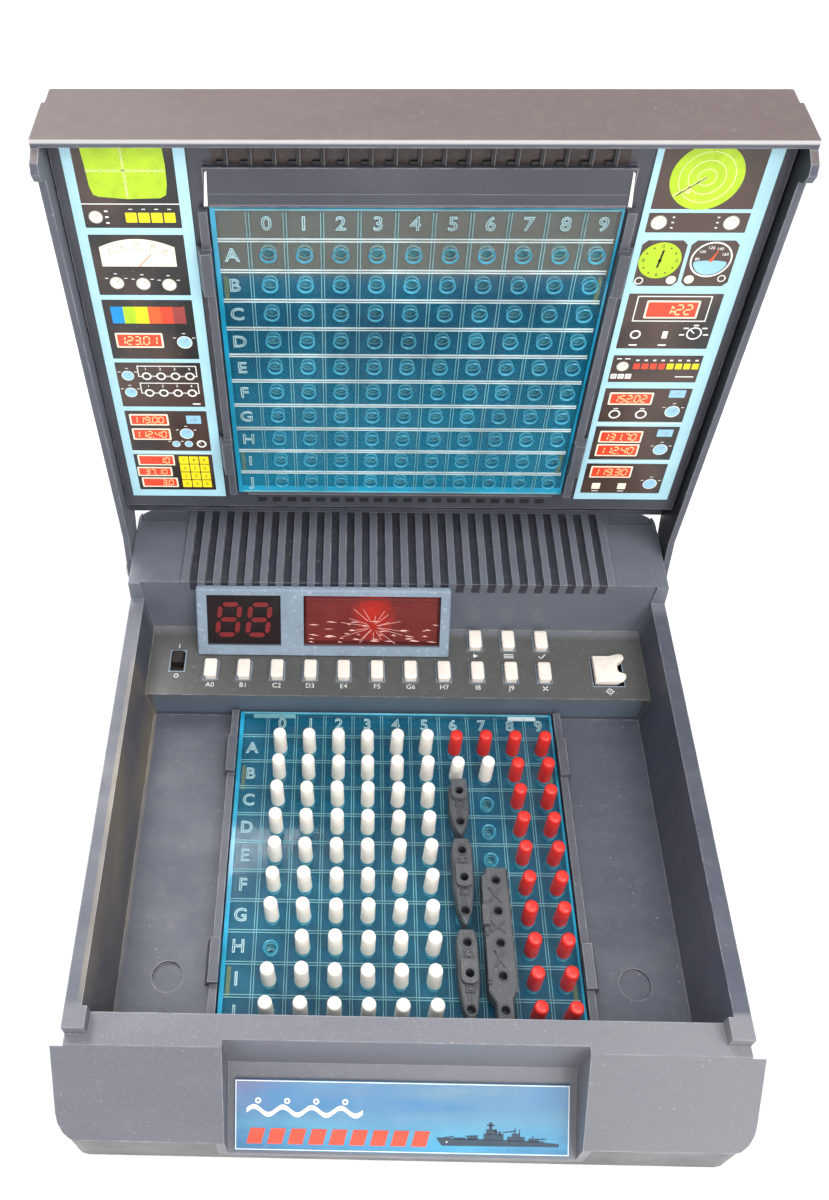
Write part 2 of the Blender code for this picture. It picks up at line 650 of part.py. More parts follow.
def battery_bay():
    """Four cells in two rows, a contact plate at each end, and the sliding door."""
    first, last = cell_rows()
    profile = [(CELL_NUB + CELL_LONG, 3.0 * MM), (CELL_LONG, 3.0 * MM), (CELL_LONG, CELL_R), (0.0, CELL_R)]
    number = 0
    for row, turned in ((first, False), (last, True)):
        for start in (-CELL_LONG - CELL_NUB - GAP / 2, GAP / 2):
            number += 1
            cell = turned_object(f"battery_cell_{number}", profile, cell_skin, 16)
            if turned:
                place = Matrix.Translation((start + CELL_LONG + CELL_NUB, row, CELL_Z)) @ Matrix.Rotation(math.pi, 4, "Z")
            else:
                place = Matrix.Translation((start, row, CELL_Z))
            cell.matrix_world = place @ Matrix.Rotation(math.pi / 2, 4, "Y")
    for side, name in ((-1, "left"), (1, "right")):
        near = CELL_LONG + CELL_NUB + GAP * 2
        low = (near, first - 9 * MM, CELL_Z - 7 * MM)
        high = (near + CONTACT_THICK, last + 9 * MM, SEAM_Z - 3 * MM)
        mesh = box_mesh(low, high)
        if side < 0:
            mesh.transform(Matrix.Scale(-1, 4, (1, 0, 0)))
            mesh.flip_normals()
        plate = mesh_object(f"battery_contact_{name}", mesh, parts, steel)
        tongues = []
        for row in (first, last):
            bump = cylinder_mesh(4 * MM, near + 0.4 * MM, near + 2.4 * MM, (row, CELL_Z - 1 * MM), 12, "X")
            tongues.append(bump)
        tongue = joined(tongues)
        if side < 0:
            tongue.transform(Matrix.Scale(-1, 4, (1, 0, 0)))
            tongue.flip_normals()
        add(plate, tongue, "studs")
    door = mesh_object(
        "battery_door",
        box_mesh((-DOOR_HALF, DOOR_FRONT_Y, TUB_Z), (DOOR_HALF, REAR_Y - TUB_INSET, TUB_Z + DOOR_THICK)),
        parts,
        casing,
    )
    grips = [
        box_mesh((-12 * MM, REAR_Y - step * MM, TUB_Z - WALL), (12 * MM, REAR_Y - (step - 1) * MM, TUB_Z + 0.6 * MM))
        for step in (8, 11, 14)
    ]
    cut(door, joined(grips), "grip")


def turned_object(name, profile, material, steps):
    """A turned piece about its own Z. The profile is (height, radius) from the top of its outer side down."""
    mesh = bpy.data.meshes.new(name)
    points = [(radius, 0.0, height) for height, radius in profile]
    points = [(0.0, 0.0, points[0][2])] + points + [(0.0, 0.0, points[-1][2])]
    mesh.from_pydata(points, [(index, index + 1) for index in range(len(points) - 1)], [])
    obj = mesh_object(name, mesh, parts, material)
    screw = obj.modifiers.new("turn", "SCREW")
    screw.steps = steps
    screw.render_steps = steps
    screw.use_merge_vertices = True
    screw.merge_threshold = 1e-5
    return obj


def speaker():
    """A small loudspeaker that faces down over the slots: rim, basket, magnet and a dished cone."""
    profile = [
        (SPEAKER_TALL, 11 * MM),
        (SPEAKER_TALL - 6 * MM, 11 * MM),
        (SPEAKER_TALL - 7 * MM, 14 * MM),
        (3.0 * MM, SPEAKER_R - 3 * MM),
        (1.6 * MM, SPEAKER_R),
        (0.0, SPEAKER_R),
        (0.0, SPEAKER_R - 3 * MM),
        (5.0 * MM, 7 * MM),
        (3.6 * MM, 3 * MM),
    ]
    obj = turned_object("speaker", profile, dark_paper, 20)
    obj.matrix_world = Matrix.Translation((*SPEAKER_PLACE, TUB_Z + TUB_FLOOR + GAP))


def display():
    """The display box, its two red windows, the digit module and the picture card."""
    foot = DECK_Z + GAP
    near_y = DECK_REAR_Y - BEZEL_RUN + (HUMP_LEAN - WALL) / 2
    lean = HUMP_LEAN / (HUMP_Z - DECK_Z)
    rear_y = DECK_REAR_Y - GAP
    outline = [
        (near_y, foot),
        (near_y + BEZEL_RUN, foot + BEZEL_RISE),
        (rear_y + lean * BEZEL_RISE, foot + BEZEL_RISE),
        (rear_y, foot),
    ]
    box = mesh_object("display_box", prism_mesh(outline, *BEZEL_X, SIDE_VIEW), parts, casing)
    soften(box, 0.5 * MM, 1)
    face = Matrix.Translation((0, near_y, foot)) @ Matrix.Rotation(BEZEL_ANGLE, 4, "X")
    inside = box_mesh(
        (BEZEL_X[0] + BEZEL_WALL, WINDOW_LOW - BEZEL_WALL, -REACH),
        (BEZEL_X[1] - BEZEL_WALL, WINDOW_LOW + WINDOW_TALL + 0.6 * BEZEL_WALL, -BEZEL_WALL),
    )
    inside.transform(face)
    cut(box, inside, "inside")
    openings = [
        box_mesh((low, WINDOW_LOW, -3 * BEZEL_WALL), (high, WINDOW_LOW + WINDOW_TALL, BEZEL_WALL))
        for low, high in (DIGIT_X, SCENE_X)
    ]
    opening = joined(openings)
    opening.transform(face)
    cut(box, opening, "windows")
    for name, (low, high) in (("digit_window", DIGIT_X), ("picture_window", SCENE_X)):
        lens = box_mesh(
            (low + GAP, WINDOW_LOW + GAP, -LENS_SUNK - LENS_THICK),
            (high - GAP, WINDOW_LOW + WINDOW_TALL - GAP, -LENS_SUNK),
        )
        mesh_object(name, lens, parts, red_lens, face)

    middle = (DIGIT_X[0] + DIGIT_X[1]) / 2
    module_top = -LENS_SUNK - LENS_THICK - 3 * GAP
    up = WINDOW_LOW + WINDOW_TALL / 2
    wide, tall, thick = MODULE
    module = box_mesh((middle - wide / 2, up - tall / 2, module_top - thick), (middle + wide / 2, up + tall / 2, module_top))
    mesh_object("digit_module", module, parts, module_black, face)
    card = box_mesh(
        (SCENE_X[0] + 1 * MM, WINDOW_LOW + 1 * MM, module_top - 1.0 * MM),
        (SCENE_X[1] - 1 * MM, WINDOW_LOW + WINDOW_TALL - 1 * MM, module_top - 0.4 * MM),
    )
    mesh_object("picture_card", card, parts, card_red, face)


def keys():
    """Key caps with their flanges, the power switch, the rubber mat and the circuit board."""
    deck_under = DECK_Z - WALL
    flange_top = deck_under - GAP
    for name, x, y, (wide, deep) in key_places():
        low = (x - wide / 2, y - deep / 2, flange_top - KEY_FLANGE / 2)
        high = (x + wide / 2, y + deep / 2, DECK_Z + KEY_RISE)
        key = mesh_object(f"key_{name}", box_mesh(low, high), parts, key_cream)
        soften(key, 0.6 * MM, 1)
        out = KEY_FLANGE_OUT
        flange = (
            (low[0] - out, low[1] - out, flange_top - KEY_FLANGE),
            (high[0] + out, high[1] + out, flange_top),
        )
        add(key, box_mesh(*flange), "flange")

    travel_floor = flange_top - KEY_FLANGE - KEY_TRAVEL - GAP
    x, y = SWITCH_X, DECK_FRONT_Y + SWITCH_IN
    rear = y + SWITCH_SLOT[1] / 2 - GAP
    knob = (
        (x - SWITCH_KNOB[0] / 2, rear - SWITCH_KNOB[1], flange_top - KEY_FLANGE / 2),
        (x + SWITCH_KNOB[0] / 2, rear, DECK_Z + SWITCH_RISE),
    )
    switch = mesh_object("power_switch", box_mesh(*knob), parts, switch_black)
    soften(switch, 0.4 * MM, 1)
    carrier = (
        (x - SWITCH_KNOB[0] / 2 - 2.0 * MM, rear - SWITCH_KNOB[1] - 2.0 * MM, flange_top - KEY_FLANGE),
        (x + SWITCH_KNOB[0] / 2 + 2.0 * MM, rear + 2.0 * MM, flange_top),
    )
    add(switch, box_mesh(*carrier), "carrier")

    mat_top = travel_floor
    mat_low = mat_top - MAT_THICK
    front, rear = DECK_FRONT_Y + WALL + 1.5 * MM, DECK_REAR_Y - 1.5 * MM
    mat = ((ROW_X - 6 * MM, front, mat_low), (ENTER_X + 8 * MM, rear, mat_top))
    mesh_object("key_mat", box_mesh(*mat), parts, rubber)
    circuit_top = mat_low - GAP
    circuit = (
        (-CIRCUIT_HALF, front, circuit_top - CIRCUIT_THICK),
        (CIRCUIT_HALF, rear, circuit_top),
    )
    board = mesh_object("circuit_board", box_mesh(*circuit), parts, laminate)
    chip_top = circuit_top - CIRCUIT_THICK / 2
    chip_x = CIRCUIT_HALF - 4 * MM
    chip = (
        (chip_x - CHIP[0] / 2 - 4 * MM, front + 4 * MM, chip_top - CHIP[2]),
        (chip_x, front + 4 * MM + CHIP[1], chip_top),
    )
    add(board, box_mesh(*chip), "chip")


def name_plate():
    """The picture plate on the sloped floor of the front recess."""
    floor = Matrix.Translation((0, FRONT_Y, RECESS_LOW_Z)) @ Matrix.Rotation(RECESS_ANGLE, 4, "X")
    plate = box_mesh((-PLATE_HALF, PLATE_LOW, GAP), (PLATE_HALF, PLATE_LOW + PLATE_LONG, GAP + PLATE_THICK))
    mesh_object("front_plate", plate, parts, plate_blue, floor)


BASE_BOARD_PLACE = Matrix.Translation((0, BOARD_FRONT_Y + BOARD / 2, BOARD_Z))
LID_BOARD_PLACE = (
    Matrix.Translation((0, PANEL_Y - LID_BOARD_PROUD, LID_TOP_Z - LID_BOARD_DROP - BOARD / 2))
    @ Matrix.Rotation(math.pi / 2, 4, "X")
)


def hole_place(column, row):
    """Centre of a hole on its board: column 0 to 9 from the left, row 0 to 9 (A to J) from the rear."""
    return (-BOARD / 2 + (column + 1.5) * PITCH, BOARD / 2 - (row + 1.5) * PITCH)


def peg_board(name, place):
    """A clear plate with a skirt and a hundred holes. Its face is at z = 0 before it is placed."""
    half = BOARD / 2
    board = mesh_object(name, box_mesh((-half, -half, -BOARD_SKIRT), (half, half, 0)), parts, clear_blue, place)
    inside = half - 1.6 * MM
    hollow = box_mesh((-inside, -inside, -BOARD_SKIRT - WALL), (inside, inside, -BOARD_SKIN))
    holes = [
        cylinder_mesh(HOLE_R, -BOARD_SKIN - 1 * MM, 1 * MM, hole_place(column, row), HOLE_SIDES)
        for column in range(HOLES)
        for row in range(HOLES)
    ]
    for tool, mesh in (("underside", hollow), ("holes", joined(holes))):
        mesh.transform(place)
        cut(board, mesh, tool)


def rails(prefix, place, foot):
    """A rail with two clip tabs on each side of a board. foot is how far it stands below the board's face."""
    near = BOARD / 2 + GAP + 0.1 * MM
    for side, name in ((-1, "left"), (1, "right")):
        half = BOARD / 2 - 0.5 * MM
        strip = box_mesh((near, -half, -foot), (near + RAIL_WIDTH, half, RAIL_RISE))
        tabs = []
        for start in TAB_STARTS:
            rear = BOARD / 2 - PITCH - start
            section = [
                (near - 0.2 * MM, RAIL_RISE - 1 * MM),
                (near + TAB_WIDTH, RAIL_RISE - 2 * MM),
                (near + TAB_WIDTH - 1.4 * MM, TAB_RISE),
                (near - 0.2 * MM, TAB_RISE - 0.4 * MM),
            ]
            tabs.append(prism_mesh(section, rear - TAB_LONG, rear, FRONT_VIEW))
        meshes = [strip, joined(tabs)]
        for mesh in meshes:
            if side < 0:
                mesh.transform(Matrix.Scale(-1, 4, (1, 0, 0)))
                mesh.flip_normals()
        meshes[1].transform(place)
        rail = mesh_object(f"{prefix}_rail_{name}", meshes[0], parts, casing, place)
        add(rail, meshes[1], "tabs")


def ship(name, column, first_row, length, beam, outline):
    """A ship over a run of holes, with a peg hole over each and a pin under each end."""
    deck = BOARD_Z + GAP
    x, y_rear = hole_place(column, first_row)
    y_front = hole_place(column, first_row + length - 1)[1]
    offset = BASE_BOARD_PLACE.translation.y
    rear = y_rear + PITCH / 2 - SHIP_END_GAP + offset
    front = y_front - PITCH / 2 + SHIP_END_GAP + offset
    points = [(x + across * beam / 2, rear + (front - rear) * along) for across, along in outline]
    hull = mesh_object(name, prism_mesh(points, deck, deck + SHIP_DECK), parts, ship_grey)
    soften(hull, 0.5 * MM, 1)
    rows = [hole_place(column, first_row + step)[1] + offset for step in range(length)]
    if beam < CARRIER_BEAM:
        tower_y = rows[length // 2 - 1 if length == 2 else 1]
        tower = rounded([
            (x - 2.7 * MM, tower_y - 3.2 * MM, 2.0 * MM),
            (x + 2.7 * MM, tower_y - 3.2 * MM, 2.0 * MM),
            (x + 2.7 * MM, tower_y + 4.6 * MM, 0),
            (x - 2.7 * MM, tower_y + 4.6 * MM, 0),
        ])
        add(hull, prism_mesh(tower, deck + SHIP_DECK / 2, deck + SHIP_DECK + SHIP_TOWER), "tower")
    else:
        island = box_mesh(
            (x - beam / 2 - 0.6 * MM, rows[1] - 5.4 * MM, deck + SHIP_DECK / 2),
            (x - beam / 2 + 1.8 * MM, rows[1] + 1.4 * MM, deck + SHIP_DECK + SHIP_TOWER),
        )
        add(hull, island, "island")
    pins = [cylinder_mesh(STEM_R, deck - STEM, deck + 1 * MM, (x, row), 8) for row in (rows[0], rows[-1])]
    add(hull, joined(pins), "pins")
    holes = [cylinder_mesh(1.5 * MM, deck + 2.4 * MM, deck + 20 * MM, (x, row), 10) for row in rows]
    cut(hull, joined(holes), "peg_holes")


WARSHIP = [
    (-0.75, 0.0),
    (-1.0, 0.12),
    (-1.0, 0.55),
    (-0.72, 0.82),
    (-0.2, 1.0),
    (0.2, 1.0),
    (0.72, 0.82),
    (1.0, 0.55),
    (1.0, 0.12),
    (0.75, 0.0),
]
FLAT_TOP = [
    (-0.7, 0.0),
    (-0.7, 0.03),
    (-1.0, 0.05),
    (-1.0, 0.8),
    (-0.55, 0.87),
    (-0.55, 1.0),
    (0.6, 1.0),
    (0.6, 0.84),
    (1.0, 0.78),
    (0.85, 0.0),
]


def ships():
    ship("patrol_boat", 6, 2, 2, SHIP_BEAM, WARSHIP)
    ship("submarine", 6, 4, 3, SHIP_BEAM, WARSHIP)
    ship("cruiser", 6, 7, 3, SHIP_BEAM, WARSHIP)
    ship("carrier", 7, 5, 5, CARRIER_BEAM, FLAT_TOP)


def peg(name, column, row, material):
    """A peg with a round head on a thinner stem, standing in a hole of the base board."""
    profile = [
        (PEG_ABOVE, PEG_R - 0.8 * MM),
        (PEG_ABOVE - 0.8 * MM, PEG_R),
        (GAP, PEG_R),
        (GAP, STEM_R),
        (-STEM, STEM_R),
    ]
    obj = turned_object(name, profile, material, 12)
    x, y = hole_place(column, row)
    obj.matrix_world = BASE_BOARD_PLACE @ Matrix.Translation((x, y, 0))


def lid_shell():
    """Top wall, back and sides of the lid in one moulding, with an arm, an ear and two lugs on each side."""
    ear_top = LID_TOP_Z - LID_WALL - GAP
    ear = [
        (LIP_Y, ear_top),
        (LIP_Y - 0.8 * EAR_OUT, ear_top - 0.2 * EAR_LONG),
        (LIP_Y - EAR_OUT, ear_top - 0.5 * EAR_LONG),
        (LIP_Y - 0.7 * EAR_OUT, ear_top - 0.8 * EAR_LONG),
        (LIP_Y, ear_top - EAR_LONG),
    ]
    turn = [math.radians(angle) for angle in range(180, 375, 15)]
    arm = [(HINGE_Y + ARM_R * math.cos(angle), HINGE_Z + ARM_R * math.sin(angle)) for angle in turn]
    skirt_y = LIP_Y + 15.7 * MM
    outline = [(LIP_Y, LID_TOP_Z), *ear, (LIP_Y, LID_SKIRT_Z + 2 * MM), *arm]
    outline += [(skirt_y, LID_SKIRT_Z), (LID_BACK_Y, LID_SKIRT_Z)]
    outline += [(LID_BACK_Y, LID_TOP_Z - 3 * MM), (LID_BACK_Y - 0.9 * MM, LID_TOP_Z - 0.9 * MM)]
    outline += [(LID_BACK_Y - 3 * MM, LID_TOP_Z)]
    shell = mesh_object("lid_shell", prism_mesh(outline, -LID_HALF, LID_HALF, SIDE_VIEW), parts, casing)
    inside = (
        (-LID_INNER, LIP_Y - ARM_R - EAR_OUT, LID_SKIRT_Z + LID_WALL),
        (LID_INNER, LID_BACK_Y - LID_WALL, LID_TOP_Z - LID_WALL),
    )
    cut(shell, box_mesh(*inside), "inside")
    below = HINGE_Z - 2 * ARM_R
    between = ((-LID_INNER, inside[0][1], below), (LID_INNER, skirt_y, LID_SKIRT_Z + 2 * LID_WALL))
    cut(shell, box_mesh(*between), "between_arms")
    under = ((-LID_INNER, skirt_y - 1 * MM, below), (LID_INNER, LID_BACK_Y + WALL, LID_SKIRT_Z))
    cut(shell, box_mesh(*under), "under_skirt")
    step = (
        (LID_HALF - SIDE_STEP, LID_BACK_Y - SIDE_STEP_RUN, LID_SKIRT_Z - WALL),
        (LID_HALF + WALL, LID_BACK_Y + WALL, LID_TOP_Z + WALL),
    )
    cut(shell, both_sides(box_mesh(*step)), "side_steps")
    lugs = [
        box_mesh(
            (LID_HALF - 1 * MM, LIP_Y + 8 * MM, z - LUG_LONG / 2),
            (LID_HALF + LUG_OUT, LIP_Y + 12 * MM, z + LUG_LONG / 2),
        )
        for z in (LID_TOP_Z - 68.0 * MM, LID_TOP_Z - 121.5 * MM)
    ]
    add(shell, both_sides(joined(lugs)), "lugs")
    holes = cylinder_mesh(PIN_R + GAP, LID_INNER - WALL, LID_HALF + WALL, (HINGE_Y, HINGE_Z), 16, "X")
    cut(shell, both_sides(holes), "pin_holes")


def hinge_pins():
    """A headed pin on each side, through the lid's arm into the side of the upper case."""
    for side, name in ((-1, "left"), (1, "right")):
        inner = BASE_HALF - 2 * WALL
        profile = [
            (LID_HALF + GAP + PIN_HEAD, PIN_HEAD_R),
            (LID_HALF + GAP, PIN_HEAD_R),
            (LID_HALF + GAP, PIN_R),
            (inner, PIN_R),
        ]
        pin = turned_object(f"hinge_pin_{name}", profile, steel, 16)
        turn = Matrix.Rotation(side * math.pi / 2, 4, "Y")
        pin.matrix_world = Matrix.Translation((0, HINGE_Y, HINGE_Z)) @ turn


def lid_panel():
    """The inner face of the lid: a plate with a sunken bay for the board, a slab over it and a lower shelf."""
    half = LID_INNER - 0.5 * MM
    top = LID_TOP_Z - LID_WALL - 0.5 * MM
    panel = mesh_object(
        "lid_panel",
        box_mesh((-half, PANEL_Y, PANEL_LOW_Z), (half, PANEL_Y + PANEL_THICK, top)),
        parts,
        casing,
    )
    shelf_back = LID_BACK_Y - LID_WALL - 0.5 * MM
    shelf = ((-half, PANEL_Y + 0.5 * PANEL_THICK, PANEL_LOW_Z), (half, shelf_back, PANEL_LOW_Z + 2 * MM))
    add(panel, box_mesh(*shelf), "shelf")
    board_top = LID_TOP_Z - LID_BOARD_DROP
    board_low = board_top - BOARD
    reach = BOARD / 2 + BOARD_MARGIN / 2
    bay_outer = (
        (-reach - WELL_WALL, PANEL_Y + 0.5 * PANEL_THICK, board_low - BOARD_MARGIN / 2 - WELL_WALL),
        (reach + WELL_WALL, PANEL_Y + WELL_DEPTH + WELL_WALL, board_top + BOARD_MARGIN / 2 + WELL_WALL),
    )
    add(panel, box_mesh(*bay_outer), "bay_outer")
    slab = (
        (-BOARD / 2 - 0.8 * MM, PANEL_Y - SLAB_RISE, board_top + BOARD_MARGIN / 2),
        (BOARD / 2 + 0.8 * MM, PANEL_Y + 0.5 * PANEL_THICK, board_top + BOARD_MARGIN / 2 + SLAB_TALL),
    )
    add(panel, box_mesh(*slab), "slab")
    bay = (
        (-reach, PANEL_Y - WALL, board_low - BOARD_MARGIN / 2),
        (reach, PANEL_Y + WELL_DEPTH, board_top + BOARD_MARGIN / 2 - 0.1 * MM),
    )
    cut(panel, box_mesh(*bay), "bay")


def picture_sheets():
    """The printed instrument sheet on each side of the target board."""
    outer = LID_INNER - SHEET_EDGE
    front = PANEL_Y - GAP - SHEET_THICK
    for side, name in ((-1, "left"), (1, "right")):
        low_x, high_x = sorted((side * SHEET_INNER, side * outer))
        low = (low_x, front, SHEET_LOW_Z)
        high = (high_x, front + SHEET_THICK, LID_TOP_Z - SHEET_TOP_DROP)
        mesh_object(f"instrument_sheet_{name}", box_mesh(low, high), parts, sheet_print)


def feet_and_screws():
    for index, (x, y) in enumerate(FOOT_PLACES):
        profile = [
            (TUB_Z + TUB_FLOOR - 0.5 * MM, FOOT_STEM_R),
            (TUB_Z - GAP, FOOT_STEM_R),
            (TUB_Z - GAP, FOOT_R),
            (0.0, FOOT_R),
        ]
        foot = turned_object(f"foot_{index + 1}", profile, rubber, 12)
        foot.matrix_world = Matrix.Translation((x, y, 0))
    for index, (x, y) in enumerate(SCREW_PLACES):
        head_top = TUB_Z + TUB_FLOOR + 2.0 * MM
        profile = [
            (SEAM_Z + 9 * MM, SCREW_R),
            (head_top, SCREW_R),
            (head_top, SCREW_HEAD_R),
            (head_top - 1.8 * MM, SCREW_HEAD_R),
        ]
        screw = turned_object(f"screw_{index + 1}", profile, steel, 12)
        screw.matrix_world = Matrix.Translation((x, y, 0))


clear_scene()
parts = new_collection("fleet_guessing_case")
cutters = new_collection("cutters")
casing = make_material("casing", (0.10, 0.11, 0.14), 0.45)
clear_blue = make_material("clear_blue", (0.02, 0.30, 0.42), 0.12, alpha=0.6)
red_lens = make_material("red_lens", (0.35, 0.02, 0.03), 0.1, alpha=0.7)
module_black = make_material("module_black", (0.02, 0.02, 0.02), 0.4)
card_red = make_material("card_red", (0.5, 0.03, 0.03), 0.6)
key_cream = make_material("key_cream", (0.74, 0.68, 0.60), 0.45)
switch_black = make_material("switch_black", (0.03, 0.03, 0.03), 0.5)
rubber = make_material("rubber", (0.05, 0.05, 0.05), 0.85)
laminate = make_material("laminate", (0.10, 0.25, 0.08), 0.5)
steel = make_material("steel", (0.6, 0.6, 0.62), 0.3, 1.0)
cell_skin = make_material("cell_skin", (0.15, 0.16, 0.2), 0.35)
dark_paper = make_material("dark_paper", (0.04, 0.04, 0.04), 0.8)
plate_blue = make_material("plate_blue", (0.10, 0.40, 0.62), 0.3)
sheet_print = make_material("sheet_print", (0.38, 0.68, 0.80), 0.35)
ship_grey = make_material("ship_grey", (0.08, 0.085, 0.09), 0.5)
peg_white = make_material("peg_white", (0.90, 0.87, 0.80), 0.4)
peg_red = make_material("peg_red", (0.62, 0.03, 0.02), 0.35)

upper_case()
bottom_cover()
battery_bay()
speaker()
display()
keys()
name_plate()
peg_board("base_board", BASE_BOARD_PLACE)
rails("base", BASE_BOARD_PLACE, BOARD_Z - TRAY_Z - GAP)
peg_board("lid_board", LID_BOARD_PLACE)
rails("lid", LID_BOARD_PLACE, LID_BOARD_PROUD - GAP)
ships()
peg("peg_white", 0, 0, peg_white)
peg("peg_red", 9, 0, peg_red)
lid_shell()
lid_panel()
picture_sheets()
hinge_pins()
feet_and_screws()
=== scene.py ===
"""Looks of the fleet guessing case: materials, printed artwork, board detail, pegs, camera and light."""

import math
import random

import bmesh
import bpy
from mathutils import Matrix, Vector


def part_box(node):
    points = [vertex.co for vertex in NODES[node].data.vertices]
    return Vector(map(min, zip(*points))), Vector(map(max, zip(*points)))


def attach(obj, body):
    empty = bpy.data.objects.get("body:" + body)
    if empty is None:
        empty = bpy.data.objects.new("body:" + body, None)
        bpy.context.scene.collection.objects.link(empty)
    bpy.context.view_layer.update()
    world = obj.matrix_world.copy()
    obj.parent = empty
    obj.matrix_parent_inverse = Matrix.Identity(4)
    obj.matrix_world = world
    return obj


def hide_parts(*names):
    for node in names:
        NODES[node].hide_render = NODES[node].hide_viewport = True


MM = 0.001

# Where the parts of the frame are, in millimetres
PITCH = 10.75
BOARD_HALF = 59.125
BASE_BOARD_AT = (0, -24.4, 32.0)
LID_BOARD_AT = (0, 90.525, 154.125)
SHEET_Y = 90.925
DISPLAY_AT = (0, 53.625, 42.0)
DISPLAY_TILT = math.radians(58.24)
PLATE_AT = (0, -114.625, 10.5)
PLATE_TILT = math.atan2(18.8, 22.5)
PLATE_TOP = 1.1
DECK_Z = 41.7
RIB_COUNT = 28
RIB_PITCH = 5.94
RIB_WIDTH = 2.7
PANEL_Y = 91.525
SLAB_Y = 89.525

# Peg rows: columns 0 to 5 hold white pegs, columns 8 and 9 red ones
WHITE_COLUMNS = range(6)
RED_COLUMNS = (8, 9)
EMPTY_HOLES = {(0, 7)}
EXTRA_WHITE = {(6, 1), (7, 1)}
EXTRA_RED = {(6, 0), (7, 0)}
FRAME_WHITE = (0, 0)
FRAME_RED = (9, 0)

CAMERA_AT = Vector((-17.83, -188.27, 393.42))
CAMERA_PITCH = math.radians(52.037)
CAMERA_YAW = math.radians(-1.994)
CAMERA_ROLL = math.radians(-1.002)
CAMERA_LENS = 33.114
CAMERA_SHIFT = (0.0735, -0.0074)

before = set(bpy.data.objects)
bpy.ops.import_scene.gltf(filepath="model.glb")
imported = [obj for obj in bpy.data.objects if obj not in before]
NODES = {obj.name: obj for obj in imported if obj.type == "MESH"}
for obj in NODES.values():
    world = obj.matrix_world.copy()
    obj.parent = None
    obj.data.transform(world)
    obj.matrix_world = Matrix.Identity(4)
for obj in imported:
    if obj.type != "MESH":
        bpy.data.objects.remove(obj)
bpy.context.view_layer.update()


def linear(colour):
    """An sRGB colour of 0 to 255 as linear RGBA."""
    parts = [c / 255 for c in colour]
    return [c / 12.92 if c <= 0.04045 else ((c + 0.055) / 1.055) ** 2.4 for c in parts] + [1.0]


def mixed(first, second, share):
    return tuple(a + (b - a) * share for a, b in zip(first, second))


# ---------------------------------------------------------------- materials


